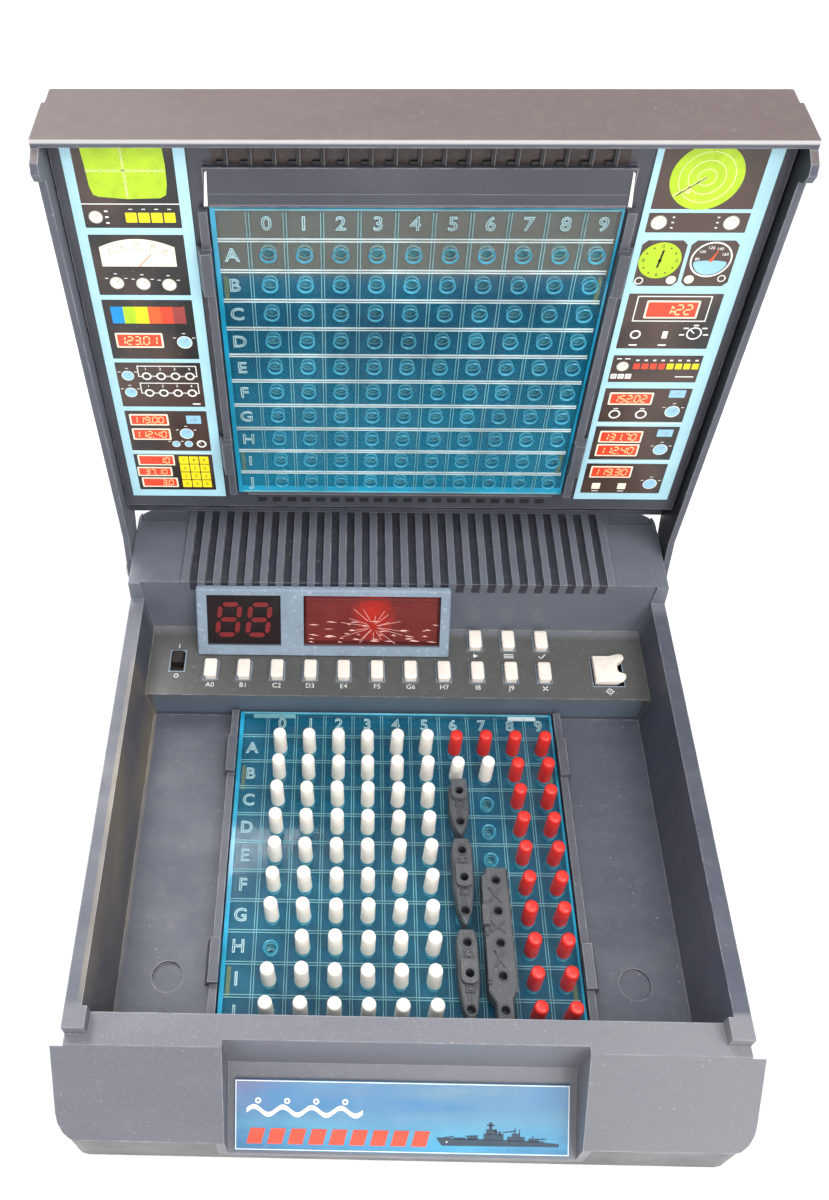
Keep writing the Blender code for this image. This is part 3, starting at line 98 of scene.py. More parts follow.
class Look:
    """A procedural material that is put together from a few kinds of nodes."""

    def __init__(self, name):
        self.material = bpy.data.materials.new(name)
        self.material.use_nodes = True
        self.tree = self.material.node_tree
        self.shader = self.tree.nodes["Principled BSDF"]
        self.where = self.tree.nodes.new("ShaderNodeTexCoord").outputs["Object"]
        self.height = None

    def link(self, source, target):
        if hasattr(source, "is_output"):
            self.tree.links.new(source, target)
        else:
            target.default_value = source

    def noise(self, scale, detail=4.0, stretch=None, offset=(0, 0, 0), roughness=0.55):
        where = self.where
        if stretch or any(offset):
            place = self.tree.nodes.new("ShaderNodeMapping")
            place.inputs["Scale"].default_value = stretch or (1, 1, 1)
            place.inputs["Location"].default_value = offset
            self.link(where, place.inputs["Vector"])
            where = place.outputs["Vector"]
        noise = self.tree.nodes.new("ShaderNodeTexNoise")
        noise.inputs["Scale"].default_value = scale
        noise.inputs["Detail"].default_value = detail
        noise.inputs["Roughness"].default_value = roughness
        self.link(where, noise.inputs["Vector"])
        return noise.outputs["Fac"]

    def spread(self, value, low, high, to_low=0.0, to_high=1.0):
        node = self.tree.nodes.new("ShaderNodeMapRange")
        for key, number in (("From Min", low), ("From Max", high), ("To Min", to_low), ("To Max", to_high)):
            node.inputs[key].default_value = number
        self.link(value, node.inputs["Value"])
        return node.outputs["Result"]

    def math(self, operation, first, second=0.0):
        node = self.tree.nodes.new("ShaderNodeMath")
        node.operation = operation
        self.link(first, node.inputs[0])
        self.link(second, node.inputs[1])
        return node.outputs[0]

    def axis(self, name):
        node = self.tree.nodes.new("ShaderNodeSeparateXYZ")
        self.link(self.where, node.inputs[0])
        return node.outputs[name]

    def facing(self, name):
        coordinates = self.tree.nodes.new("ShaderNodeTexCoord")
        node = self.tree.nodes.new("ShaderNodeSeparateXYZ")
        self.link(coordinates.outputs["Normal"], node.inputs[0])
        return node.outputs[name]

    def inside(self, name, low, high, soft=0.5):
        """1 where the coordinate is between two values in millimetres, 0 outside."""
        along = self.axis(name)
        rise = self.spread(along, (low - soft) * MM, low * MM)
        fall = self.spread(along, high * MM, (high + soft) * MM, 1.0, 0.0)
        return self.math("MULTIPLY", rise, fall)

    def blend(self, share, first, second, kind="MIX"):
        node = self.tree.nodes.new("ShaderNodeMix")
        node.data_type = "RGBA"
        node.blend_type = kind
        node.clamp_factor = True
        self.link(share, node.inputs["Factor"])
        self.link(first, node.inputs[6])
        self.link(second, node.inputs[7])
        return node.outputs[2]

    def product(self, first, *others):
        for other in others:
            first = self.math("MULTIPLY", first, other)
        return first

    def tint(self, tone, share, colour):
        """Mixes a tone toward an sRGB colour."""
        return self.blend(share, tone, linear(colour))

    def edges(self, radius):
        """Near 1 along convex and concave edges."""
        bevel = self.tree.nodes.new("ShaderNodeBevel")
        bevel.samples = 4
        bevel.inputs["Radius"].default_value = radius * MM
        geometry = self.tree.nodes.new("ShaderNodeNewGeometry")
        dot = self.tree.nodes.new("ShaderNodeVectorMath")
        dot.operation = "DOT_PRODUCT"
        self.link(bevel.outputs["Normal"], dot.inputs[0])
        self.link(geometry.outputs["Normal"], dot.inputs[1])
        return self.spread(dot.outputs["Value"], 0.98, 0.8, 0.0, 1.0)

    def bump(self, height, strength=0.3, depth=0.1):
        node = self.tree.nodes.new("ShaderNodeBump")
        node.inputs["Strength"].default_value = strength
        node.inputs["Distance"].default_value = depth * MM
        self.link(height, node.inputs["Height"])
        if self.height is not None:
            self.link(self.height, node.inputs["Normal"])
        self.height = node.outputs["Normal"]
        self.link(self.height, self.shader.inputs["Normal"])

    def finish(self, colour, rough, **sockets):
        self.link(colour, self.shader.inputs["Base Color"])
        self.link(rough, self.shader.inputs["Roughness"])
        for name, value in sockets.items():
            label = name.replace("_", " ").title().replace("Ior", "IOR")
            self.shader.inputs[label].default_value = value
        return self.material


def moulded(name, colour, *, shade=0.12, mottle=70, grain=1500, depth=0.08, strength=0.25, rough=(0.4, 0.6),
            worn=None, **sockets):
    """Plain moulded or printed plastic: colour that varies, a fine grain and uneven gloss."""
    look = Look(name)
    base = linear(colour)
    dark = [c * (1 - shade) for c in base[:3]] + [1.0]
    light = [min(1.0, c * (1 + shade)) for c in base[:3]] + [1.0]
    tone = look.blend(look.spread(look.noise(mottle, 5), 0.3, 0.7), dark, light)
    if worn is not None:
        specks = look.spread(look.noise(mottle * 9, 6, offset=(0.3, 0.1, 0.7)), 0.58, 0.72, 0.0, 0.55)
        tone = look.tint(tone, specks, worn)
    look.bump(look.noise(grain, 3), strength, depth)
    gloss = look.spread(look.noise(mottle * 3, 4, offset=(0.2, 0.5, 0.1)), 0.3, 0.7, *rough)
    return look.finish(tone, gloss, **sockets)


def casing_look(name, colour, *, dusty=0.1, upper=False, lid=False):
    """Grained dark blue-grey plastic with some dust, a few specks, and worn edges that also carry a painted
    edge highlight. With upper or lid set, painted light and shade are added to the upper case or the lid.
    """
    look = Look(name)
    base = linear(colour)
    dark = [c * 0.9 for c in base[:3]] + [1.0]
    light = [c * 1.12 for c in base[:3]] + [1.0]
    tone = look.blend(look.spread(look.noise(28, 6), 0.32, 0.68), dark, light)
    streak = look.spread(look.noise(60, 5, stretch=(0.35, 1.6, 0.5)), 0.45, 0.75, 0.0, 0.14)
    tone = look.tint(tone, streak, (122, 124, 130))
    if upper:
        deck = look.product(look.inside("Y", 35.0, 70.4), look.inside("Z", 38.0, 42.6))
        deck = look.product(deck, look.inside("X", -96.6, 96.6))
        tone = look.tint(tone, look.product(deck, 0.8), (77, 76, 71))
        # Painted light: the hump is lighter
        hump = look.inside("Y", 66.0, 112.0, 3.0)
        tone = look.tint(tone, look.product(hump, 0.42), (122, 127, 138))
        # Painted light on the deck's front face
        front = look.product(look.inside("Y", 32.0, 35.6), look.inside("Z", 30.0, 41.2))
        front = look.product(front, look.inside("X", -92.0, 92.0))
        tone = look.tint(tone, look.product(front, 0.8), (104, 122, 138))
        # Painted light: the front block is lighter, more so towards its right
        block = look.inside("Y", -118.0, -84.5, 1.5)
        right = look.spread(look.axis("X"), -0.04, 0.1, 0.3, 0.62)
        tone = look.tint(tone, look.product(block, right), (132, 131, 136))
        pale = look.product(block, look.spread(look.noise(1300, 2), 0.56, 0.74, 0.0, 0.16))
        tone = look.tint(tone, pale, (170, 168, 174))
        # Painted shade in the gaps between the hump's ribs
        tone = look.tint(tone, rib_gap_shade(look), (38, 41, 50))
        bin_wall = look.product(look.inside("X", -98.0, -92.4), look.inside("Y", -80.0, 38.0, 6.0))
        film = look.spread(look.noise(38, 5, stretch=(1, 0.5, 1)), 0.32, 0.62, 0.1, 0.75)
        tone = look.tint(tone, look.product(bin_wall, film), (128, 116, 98))
    if lid:
        # Painted light on the open lid: a painted warm brown sheen on its upward faces near the top; light
        # from one side, painted in as painted shade on the inner face of the right wall and painted light on
        # the inner face of the left wall; and a painted highlight in a thin band across the front face of the
        # top wall
        upward = look.spread(look.facing("Z"), 0.3, 0.8)
        top = look.product(look.spread(look.axis("Z"), 0.224, 0.236), upward)
        tone = look.tint(tone, look.product(top, 0.75), (104, 88, 82))
        shade = look.product(look.spread(look.facing("X"), -0.5, -0.9), look.inside("X", 88.0, 104.0))
        tone = look.tint(tone, look.product(shade, 0.85), (12, 12, 15))
        glow = look.product(look.spread(look.facing("X"), 0.5, 0.9), look.inside("X", -104.0, -88.0))
        tone = look.tint(tone, look.product(glow, 0.7), (124, 128, 140))
        forward = look.spread(look.facing("Y"), -0.4, -0.9)
        lip_highlight = look.product(forward, look.spread(look.axis("Z"), 0.2352, 0.2358))
        tone = look.tint(tone, look.product(lip_highlight, 0.8), (206, 202, 202))
    up = look.spread(look.facing("Z"), 0.35, 0.95)
    settled = look.product(up, look.spread(look.noise(340, 7), 0.5, 0.8, 0.0, dusty))
    tone = look.tint(tone, settled, (150, 145, 136))
    specks = look.spread(look.noise(900, 2, offset=(0.4, 0.2, 0.9)), 0.72, 0.78, 0.0, dusty * 5)
    tone = look.tint(tone, specks, (205, 200, 190))
    # Lighter edges: partly wear, partly a painted edge highlight
    edge_wear_and_highlight = look.product(look.edges(0.7), look.spread(look.noise(180, 5), 0.38, 0.62, 0.15, 0.75))
    tone = look.tint(tone, edge_wear_and_highlight, (168, 168, 174))
    look.bump(look.noise(1700, 3), 0.35, 0.1)
    look.bump(look.noise(90, 3), 0.12, 0.3)
    gloss = look.spread(look.noise(60, 5, offset=(0.5, 0.3, 0.2)), 0.3, 0.7, 0.34, 0.5)
    return look.finish(tone, gloss, specular_ior_level=0.55)


def rib_gap_shade(look):
    """Painted shade in the gaps between the hump's ribs."""
    turns = look.math("ADD", look.math("DIVIDE", look.axis("X"), RIB_PITCH * MM), 0.5 + RIB_COUNT / 2)
    part = look.math("ABSOLUTE", look.math("SUBTRACT", look.math("FRACT", turns), 0.5))
    side = 0.5 - RIB_WIDTH / RIB_PITCH / 2
    gap = look.spread(part, side - 0.03, side + 0.01, 0.9, 0.0)
    edge = RIB_PITCH * (RIB_COUNT - 1) / 2
    ribbed = look.product(look.inside("X", -edge, edge), look.inside("Y", 70.0, 107.0))
    return look.product(look.product(ribbed, gap), look.inside("Z", 62.0, 66.6))


def clear_look(name, colour, alpha, *, rough=0.08, deep=None, brown=False):
    """Tinted clear plastic: what is behind it shows through by its alpha."""
    look = Look(name)
    base = linear(colour)
    other = linear(deep or mixed(colour, (0, 0, 0), 0.25))
    tone = look.blend(look.spread(look.noise(45, 4), 0.3, 0.7), other, base)
    if brown:
        # Painted light on the lid board: a lighter cyan towards its lower part, and a painted brown
        # reflection of the strip over its upper part
        low = look.product(look.inside("Z", 85.0, 250.0), look.spread(look.axis("Z"), 0.1, 0.165, 0.75, 0.0))
        tone = look.tint(tone, low, (44, 168, 206))
        tone = look.blend(look.spread(look.axis("Z"), 0.189, 0.191, 0.0, 0.7), tone, linear((134, 124, 96)))
    look.bump(look.noise(120, 3), 0.05, 0.06)
    gloss = look.spread(look.noise(110, 5), 0.35, 0.7, rough, rough + 0.1)
    look.shader.inputs["Alpha"].default_value = alpha
    return look.finish(tone, gloss, ior=1.49, coat_weight=0.4)


def lit_look(name, colour, glow, *, alpha=1.0, rough=(0.25, 0.4)):
    """Printed or lit colour with a little emission: on printed marks this is a painted glow, on the display's
    segments it is their own light.
    """
    material = moulded(name, colour, shade=0.14, mottle=240, rough=rough)
    shader = material.node_tree.nodes["Principled BSDF"]
    shader.inputs["Emission Color"].default_value = linear(colour)
    shader.inputs["Emission Strength"].default_value = glow
    shader.inputs["Alpha"].default_value = alpha
    return material


def sky_look(name):
    """The front plate's picture: streaked sky over a brighter sea."""
    look = Look(name)
    high = look.spread(look.axis("Z"), 0.0118, 0.0265)
    streaks = look.noise(42, 6, stretch=(0.35, 1.3, 2.4))
    sky = look.blend(look.spread(streaks, 0.36, 0.64), linear((34, 108, 156)), linear((94, 130, 146)))
    sea = look.blend(look.spread(streaks, 0.35, 0.62), linear((10, 96, 142)), linear((34, 142, 182)))
    tone = look.blend(look.spread(high, 0.15, 0.75), sea, sky)
    mist = look.product(look.spread(look.axis("X"), -0.002, -0.046), look.spread(high, 0.45, 0.8))
    cloud = look.product(mist, look.spread(look.noise(50, 5, stretch=(0.4, 1, 2)), 0.4, 0.6))
    tone = look.tint(tone, look.product(cloud, 0.75), (92, 98, 140))
    wisps = look.noise(90, 6, stretch=(0.18, 2.5, 3.2), offset=(0.4, 0, 0))
    light = look.spread(wisps, 0.62, 0.74, 0.0, 0.45)
    tone = look.tint(tone, light, (176, 214, 226))
    scratch = look.spread(look.noise(260, 4, stretch=(0.3, 2, 3)), 0.7, 0.76, 0.0, 0.35)
    tone = look.tint(tone, scratch, (225, 232, 235))
    look.bump(look.noise(400, 3), 0.1, 0.05)
    gloss = look.spread(look.noise(120, 4), 0.3, 0.7, 0.22, 0.42)
    return look.finish(tone, gloss, coat_weight=0.35)


def card_look(name):
    """The picture card behind the wide window: dark red with a bright burst at its middle."""
    look = Look(name)
    across = look.math("SUBTRACT", look.axis("X"), -8.6 * MM)
    up = look.math("SUBTRACT", look.axis("Z"), 53.6 * MM)
    wide = look.math("POWER", look.math("ABSOLUTE", look.math("DIVIDE", across, 7.5 * MM)), 2.0)
    tall = look.math("POWER", look.math("ABSOLUTE", look.math("DIVIDE", up, 9.5 * MM)), 2.0)
    far = look.math("ADD", wide, tall)
    far = look.math("ADD", far, look.spread(look.noise(420, 5, stretch=(1.2, 1, 0.5)), 0.3, 0.7, -0.35, 0.35))
    burst = look.spread(far, 0.0, 1.3, 1.0, 0.0)
    dark = look.blend(look.spread(look.noise(130, 5), 0.3, 0.7), linear((104, 34, 34)), linear((136, 58, 54)))
    tone = look.blend(burst, dark, linear((238, 48, 26)))
    look.bump(look.noise(500, 3), 0.1, 0.05)
    material = look.finish(tone, look.spread(look.noise(90, 3), 0.3, 0.7, 0.3, 0.5))
    # Painted glow: the printed card gives off a little light of its own colour
    look.link(tone, look.shader.inputs["Emission Color"])
    look.shader.inputs["Emission Strength"].default_value = 0.35
    return material


CASING = (70, 74, 87)
LOOKS = {
    "upper": casing_look("casing_upper", CASING, upper=True),
    "lower": casing_look("casing_lower", (74, 72, 78)),
    "lid": casing_look("casing_lid", CASING, lid=True),
    "panel": casing_look("casing_panel", (58, 60, 70), dusty=0.02),
    "rail": casing_look("casing_rail", (74, 76, 86), dusty=0.05),
    "strip_brown": moulded("strip_brown", (58, 48, 46), shade=0.2, mottle=120, worn=(96, 84, 78)),
    "strip_dark": moulded("strip_dark", (28, 26, 30), shade=0.2, mottle=120),
    "strip_edge": moulded("strip_edge", (112, 108, 114), shade=0.1, mottle=200),
    "bezel": moulded("bezel_grey", (122, 138, 154), shade=0.1, worn=(190, 196, 204), rough=(0.45, 0.6)),
    # The board look carries the lid board's painted light: a lighter lower part and a painted brown
    # reflection at the top
    "board": clear_look("board_clear", (20, 122, 154), 0.36, deep=(4, 92, 126), brown=True),
    "ridge": clear_look("board_ridge", (140, 204, 216), 0.66, rough=0.12),
    "bright_ridge": clear_look("board_ridge_bright", (224, 240, 242), 0.92, rough=0.15),
    "tube": clear_look("board_tube", (150, 236, 250), 0.85),
    "rim": clear_look("board_rim", (70, 176, 208), 0.66),
    "edge_blue": clear_look("board_edge", (36, 178, 222), 0.8),
    "edge_tint": clear_look("board_tab_tint", (176, 190, 110), 0.2),
    "letter": clear_look("board_letter", (188, 226, 234), 0.8, rough=0.15),
    "dark_window": clear_look("digit_lens", (30, 1, 5), 0.5, rough=0.16, deep=(14, 0, 3)),
    "red_window": clear_look("picture_lens", (120, 16, 16), 0.3, rough=0.06, deep=(90, 8, 8)),
    "module": moulded("module_black", (12, 5, 6), rough=(0.3, 0.5)),
    "segment": lit_look("segment_red", (112, 4, 14), 0.05),
    "card": card_look("picture_card"),
    "wave": moulded("print_wave", (226, 180, 172), mottle=300, worn=(150, 70, 66)),
    "scene_dark": moulded("print_dark_red", (92, 14, 12), mottle=300),
    "white": moulded("print_white", (240, 240, 236), shade=0.05, mottle=200, rough=(0.35, 0.5),
                      worn=(196, 194, 188)),
    "cream": moulded("print_cream", (248, 238, 214), shade=0.05, mottle=200, rough=(0.35, 0.5)),
    "grey_mark": moulded("print_grey", (150, 146, 138), mottle=200),
    "sheet": moulded("sheet_border", (170, 216, 230), shade=0.06, mottle=90, rough=(0.3, 0.5),
                     coat_weight=0.2, worn=(196, 224, 234)),
    "black": None,
    # Painted glow: the printed lime marks give off a little light
    "lime": lit_look("print_lime", (172, 206, 20), 0.08),
    "lime_line": moulded("print_lime_line", (222, 236, 150), mottle=200),
    "yellow": moulded("print_yellow", (250, 226, 20), mottle=200, shade=0.08),
    "dark_yellow": moulded("print_dark_yellow", (120, 100, 10), mottle=200),
    "blue": moulded("print_blue", (0, 140, 228), mottle=200, shade=0.08),
    "sky": moulded("print_pale_blue", (150, 200, 236), mottle=200, shade=0.06),
    "orange": moulded("print_orange", (240, 96, 40), mottle=200, shade=0.08),
    # Painted glow: the printed red blocks give off a little light
    "red_block": lit_look("print_red", (232, 66, 36), 0.1),
    "brown_red": moulded("print_brown_red", (150, 60, 56), mottle=200),
    # Painted glow: the printed readout digits give off a little light
    "readout_digit": lit_look("print_readout", (255, 206, 150), 0.12),
    "plate_art": sky_look("plate_art"),
    "plate_white": moulded("plate_white", (245, 244, 238), shade=0.05, mottle=200, worn=(170, 190, 205)),
    "plate_red": moulded("plate_red", (232, 72, 50), shade=0.1, mottle=200, worn=(236, 132, 112)),
    "plate_dark": moulded("plate_dark", (44, 62, 78), mottle=200, worn=(80, 104, 118)),
    "ship": moulded("ship_grey", (74, 76, 80), shade=0.16, mottle=120, worn=(118, 114, 106),
                     rough=(0.35, 0.5)),
    "ship_dark": moulded("ship_dark", (30, 31, 34), mottle=200),
    "peg_white": moulded("peg_white", (244, 238, 228), shade=0.05, mottle=160, grain=700, strength=0.1,
                         rough=(0.3, 0.45), subsurface_weight=0.12, subsurface_scale=0.001),
    "peg_red": moulded("peg_red", (214, 44, 36), shade=0.08, mottle=160, grain=700, strength=0.1,
                       rough=(0.28, 0.42)),
    "key": moulded("key_cream", (226, 216, 206), shade=0.07, mottle=160, worn=(188, 172, 158),
                    rough=(0.4, 0.55)),
    "switch": moulded("switch_brown", (34, 26, 24), shade=0.25, mottle=300, worn=(110, 96, 84)),
    "ink": moulded("caption_ink", (205, 206, 208), shade=0.1, mottle=300, rough=(0.5, 0.6)),
    "rubber": moulded("foot_rubber", (34, 34, 36), rough=(0.7, 0.85), mottle=200),
    "laminate": moulded("board_laminate", (46, 92, 52), mottle=200, coat_weight=0.3),
    "steel": moulded("plated_steel", (176, 178, 182), mottle=400, rough=(0.25, 0.45), metallic=1.0),
    "cell": moulded("cell_skin", (58, 62, 74), mottle=150, rough=(0.3, 0.45)),
    "paper": moulded("speaker_paper", (36, 34, 32), rough=(0.75, 0.9)),
    "key_mat": moulded("key_mat", (70, 70, 74), rough=(0.6, 0.75)),
}


def panel_black():
    """The printed panels: near black that turns dark brown in patches."""
    look = Look("print_black")
    patches = look.spread(look.noise(26, 3, stretch=(1, 1, 0.7)), 0.46, 0.58)
    tone = look.blend(patches, linear((18, 16, 18)), linear((70, 50, 42)))
    specks = look.spread(look.noise(1300, 2), 0.7, 0.75, 0.0, 0.6)
    tone = look.tint(tone, specks, (150, 130, 118))
    look.bump(look.noise(700, 3), 0.12, 0.05)
    return look.finish(tone, look.spread(look.noise(120, 4), 0.3, 0.7, 0.28, 0.45), coat_weight=0.2)


LOOKS["black"] = panel_black()


def dress(tone, *names):
    for name in names:
        node = NODES[name]
        if not node.material_slots:
            node.data.materials.append(LOOKS[tone])
        for slot in node.material_slots:
            slot.material = LOOKS[tone]


KEYS = [name for name in NODES if name.startswith("key_") and name != "key_mat"]
dress("upper", "upper_case")
dress("lower", "bottom_cover", "battery_door")
dress("lid", "lid_shell")
dress("panel", "lid_panel")
dress("rail", "base_rail_left", "base_rail_right", "lid_rail_left", "lid_rail_right")
dress("bezel", "display_box")
dress("board", "base_board", "lid_board")
dress("dark_window", "digit_window")
dress("red_window", "picture_window")
dress("module", "digit_module")
dress("card", "picture_card")
dress("key", *KEYS)
dress("switch", "power_switch")
dress("plate_art", "front_plate")
dress("sheet", "instrument_sheet_left", "instrument_sheet_right")
dress("ship", "patrol_boat", "submarine", "cruiser", "carrier")
dress("peg_white", "peg_white")
dress("peg_red", "peg_red")
dress("rubber", *(name for name in NODES if name.startswith("foot_")))
dress("steel", *(name for name in NODES if name.startswith(("screw_", "hinge_pin", "battery_contact"))))
dress("laminate", "circuit_board")
dress("key_mat", "key_mat")
dress("paper", "speaker")
dress("cell", *(name for name in NODES if name.startswith("battery_cell")))


# ---------------------------------------------------------------- shapes


def place(at, tilt=0.0):
    return Matrix.Translation(Vector(at) * MM) @ Matrix.Rotation(tilt, 4, "X")


def finished(name, mesh, matrix, tone, body, smooth=None):
    """Turns a bmesh in millimetres into an object that rides on a body."""
    bmesh.ops.recalc_face_normals(mesh, faces=mesh.faces)
    data = bpy.data.meshes.new(name)
    mesh.to_mesh(data)
    mesh.free()
    data.transform(matrix @ Matrix.Scale(MM, 4))
    data.materials.append(LOOKS[tone])
    if smooth is not None:
        data.shade_smooth()
        data.set_sharp_from_angle(angle=math.radians(smooth))
    result = bpy.data.objects.new(name, data)
    bpy.context.scene.collection.objects.link(result)
    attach(result, body)
    return result


def around(centre, radius, steps, start=0.0, end=2 * math.pi):
    whole = abs(end - start) > 6.28
    count = steps if whole else steps + 1
    angles = [start + (end - start) * k / steps for k in range(count)]
    return [(centre[0] + radius * math.cos(a), centre[1] + radius * math.sin(a)) for a in angles]


def rounded_rect(left, low, right, high, corner, steps=4):
    if corner <= 0:
        return [(left, low), (right, low), (right, high), (left, high)]
    points = []
    turns = ((right, low, -90), (right, high, 0), (left, high, 90), (left, low, 180))
    for u, v, start in turns:
        cu = u - corner if u == right else u + corner
        cv = v - corner if v == high else v + corner
        begin = math.radians(start)
        points += around((cu, cv), corner, steps, begin, begin + math.pi / 2)
    return points


SEGMENTS = {"0": "abcdef", "1": "bc", "2": "abged", "3": "abgcd", "4": "fgbc", "5": "afgcd", "6": "afgedc",
            "7": "abc", "8": "abcdefg", "9": "abcdfg", " ": ""}


def skin(mesh, loops):
    """Joins each loop of vertices to the next one with faces."""
    for lower, upper in zip(loops, loops[1:]):
        for i in range(len(lower)):
            j = (i + 1) % len(lower)
            mesh.faces.new((lower[i], lower[j], upper[j], upper[i]))


class Relief:
    """Thin printed or moulded shapes on one plane. Each tone becomes one object on a body."""

    LAYER = 0.05

    def __init__(self, name, matrix, body):
        self.name = name
        self.matrix = matrix
        self.body = body
        self.meshes = {}

    def mesh(self, tone):
        return self.meshes.setdefault(tone, bmesh.new())

    def prism(self, tone, points, low, high):
        mesh = self.mesh(tone)
        area = sum(a[0] * b[1] - b[0] * a[1] for a, b in zip(points, points[1:] + points[:1]))
        if area < 0:
            points = points[::-1]
        bottom = [mesh.verts.new((u, v, low)) for u, v in points]
        top = [mesh.verts.new((u, v, high)) for u, v in points]
        mesh.faces.new(top)
        mesh.faces.new(bottom[::-1])
        for i in range(len(points)):
            j = (i + 1) % len(points)
            mesh.faces.new((bottom[i], bottom[j], top[j], top[i]))

    def bar(self, tone, left, low, right, high, bottom, top):
        self.prism(tone, [(left, low), (right, low), (right, high), (left, high)], bottom, top)

    def flat(self, tone, points, layer):
        self.prism(tone, points, -0.02, layer * self.LAYER)

    def rect(self, tone, left, low, right, high, layer, corner=0.0):
        self.flat(tone, rounded_rect(left, low, right, high, corner), layer)

    def disc(self, tone, centre, radius, layer, steps=28):
        self.flat(tone, around(centre, radius, steps), layer)

    def band(self, tone, outer, inner, low, high):
        """A closed ring between two loops of the same number of points."""
        mesh = self.mesh(tone)
        loops = []
        for points, height in ((outer, low), (outer, high), (inner, high), (inner, low)):
            loops.append([mesh.verts.new((u, v, height)) for u, v in points])
        skin(mesh, loops + loops[:1])

    def ring(self, tone, centre, outer, inner, layer, steps=28):
        self.band(tone, around(centre, outer, steps), around(centre, inner, steps), -0.02, layer * self.LAYER)

    def frame(self, tone, left, low, right, high, width, layer, corner=0.0):
        outer = rounded_rect(left, low, right, high, corner)
        inner = rounded_rect(left + width, low + width, right - width, high - width, max(0.0, corner - width))
        if len(outer) != len(inner):
            inner = rounded_rect(left + width, low + width, right - width, high - width, 0.05)
        self.band(tone, outer, inner, -0.02, layer * self.LAYER)

    def line(self, tone, points, width, layer):
        for (u0, v0), (u1, v1) in zip(points, points[1:]):
            length = math.hypot(u1 - u0, v1 - v0) or 1.0
            du, dv = (u1 - u0) / length, (v1 - v0) / length
            su, sv = -dv * width / 2, du * width / 2
            corners = [(u0 + su, v0 + sv), (u0 - su, v0 - sv), (u1 - su, v1 - sv), (u1 + su, v1 + sv)]
            self.flat(tone, corners, layer)

    def arc(self, tone, centre, radius, start, end, width, layer, steps=24):
        points = around(centre, radius, steps, math.radians(start), math.radians(end))
        self.line(tone, points, width, layer)

    def digits(self, tone, text, left, low, height, layer, *, wide=0.56, gap=0.24, slant=0.1, thick=0.15):
        """Slanted seven-segment digits that start at a point."""
        width, bar = height * wide, height * thick
        cursor = left
        half = height / 2
        spots = {"a": ((0, height), (width, height)), "g": ((0, half), (width, half)),
                 "d": ((0, 0), (width, 0)), "f": ((0, half), (0, height)),
                 "b": ((width, half), (width, height)),
                 "e": ((0, 0), (0, half)), "c": ((width, 0), (width, half))}
        for letter in text:
            if letter in ".:":
                for v in ((0,) if letter == "." else (height * 0.3, height * 0.7)):
                    self.disc(tone, (cursor + v * slant - width * 0.12, low + v), bar * 0.6, layer, 8)
                cursor += height * 0.14
                continue
            for name in SEGMENTS[letter]:
                (u0, v0), (u1, v1) = spots[name]
                length = math.hypot(u1 - u0, v1 - v0)
                du, dv = (u1 - u0) / length, (v1 - v0) / length
                trim, h = bar * 0.32, bar / 2
                tips = [(trim, 0), (trim + h, h), (length - trim - h, h), (length - trim, 0),
                        (length - trim - h, -h), (trim + h, -h)]
                points = []
                for along, across in tips:
                    u = u0 + du * along - dv * across
                    v = v0 + dv * along + du * across
                    points.append((cursor + u + v * slant, low + v))
                self.flat(tone, points, layer)
            cursor += width + height * gap
        return cursor

    def words(self, tone, text, centre, size, low, high, outline=0.0):
        """Plain lettering. With an outline width it is drawn as hollow letters."""
        curve = bpy.data.curves.new("words", "FONT")
        curve.body = text
        curve.size = size / 0.7
        curve.align_x = "CENTER"
        curve.align_y = "CENTER"
        curve.resolution_u = 3
        if outline:
            curve.fill_mode = "NONE"
            curve.bevel_depth = outline / 2
            curve.bevel_resolution = 1
        else:
            curve.extrude = (high - low) / 2
        holder = bpy.data.objects.new("words", curve)
        bpy.context.scene.collection.objects.link(holder)
        bpy.context.view_layer.update()
        shape = bpy.data.meshes.new_from_object(holder.evaluated_get(bpy.context.evaluated_depsgraph_get()))
        shape.transform(Matrix.Translation((centre[0], centre[1], (low + high) / 2)))
        self.mesh(tone).from_mesh(shape)
        bpy.data.objects.remove(holder)
        bpy.data.curves.remove(curve)
        bpy.data.meshes.remove(shape)

    def build(self):
        for tone, mesh in self.meshes.items():
            bmesh.ops.remove_doubles(mesh, verts=mesh.verts, dist=0.0001)
            finished(f"{self.name}_{tone}", mesh, self.matrix, tone, self.body)


def lathe(mesh, profile, matrix, steps=24):
    """Adds a turned solid. The profile is (radius, height) from its lower pole to its upper pole."""
    rings = []
    for radius, height in profile:
        if radius <= 0:
            rings.append([mesh.verts.new(matrix @ Vector((0, 0, height)))])
            continue
        ring = []
        for k in range(steps):
            angle = 2 * math.pi * k / steps
            point = Vector((radius * math.cos(angle), radius * math.sin(angle), height))
            ring.append(mesh.verts.new(matrix @ point))
        rings.append(ring)
    for lower, upper in zip(rings, rings[1:]):
        for k in range(steps):
            j = (k + 1) % steps
            if len(lower) == 1:
                mesh.faces.new((lower[0], upper[j], upper[k]))
            elif len(upper) == 1:
                mesh.faces.new((lower[k], lower[j], upper[0]))
            else:
                mesh.faces.new((lower[k], lower[j], upper[j], upper[k]))


def box(mesh, low, high, matrix=None, taper=0.0):
    """Adds a box whose top may be smaller than its foot by a margin."""
    corners = []
    for height, inset in ((low[2], 0.0), (high[2], taper)):
        for u, v in ((low[0], low[1]), (high[0], low[1]), (high[0], high[1]), (low[0], high[1])):
            cu = u + inset if u == low[0] else u - inset
            cv = v + inset if v == low[1] else v - inset
            point = Vector((cu, cv, height))
            corners.append(mesh.verts.new(matrix @ point if matrix else point))
    for face in ((3, 2, 1, 0), (4, 5, 6, 7), (0, 1, 5, 4), (1, 2, 6, 5), (2, 3, 7, 6), (3, 0, 4, 7)):
        mesh.faces.new([corners[k] for k in face])


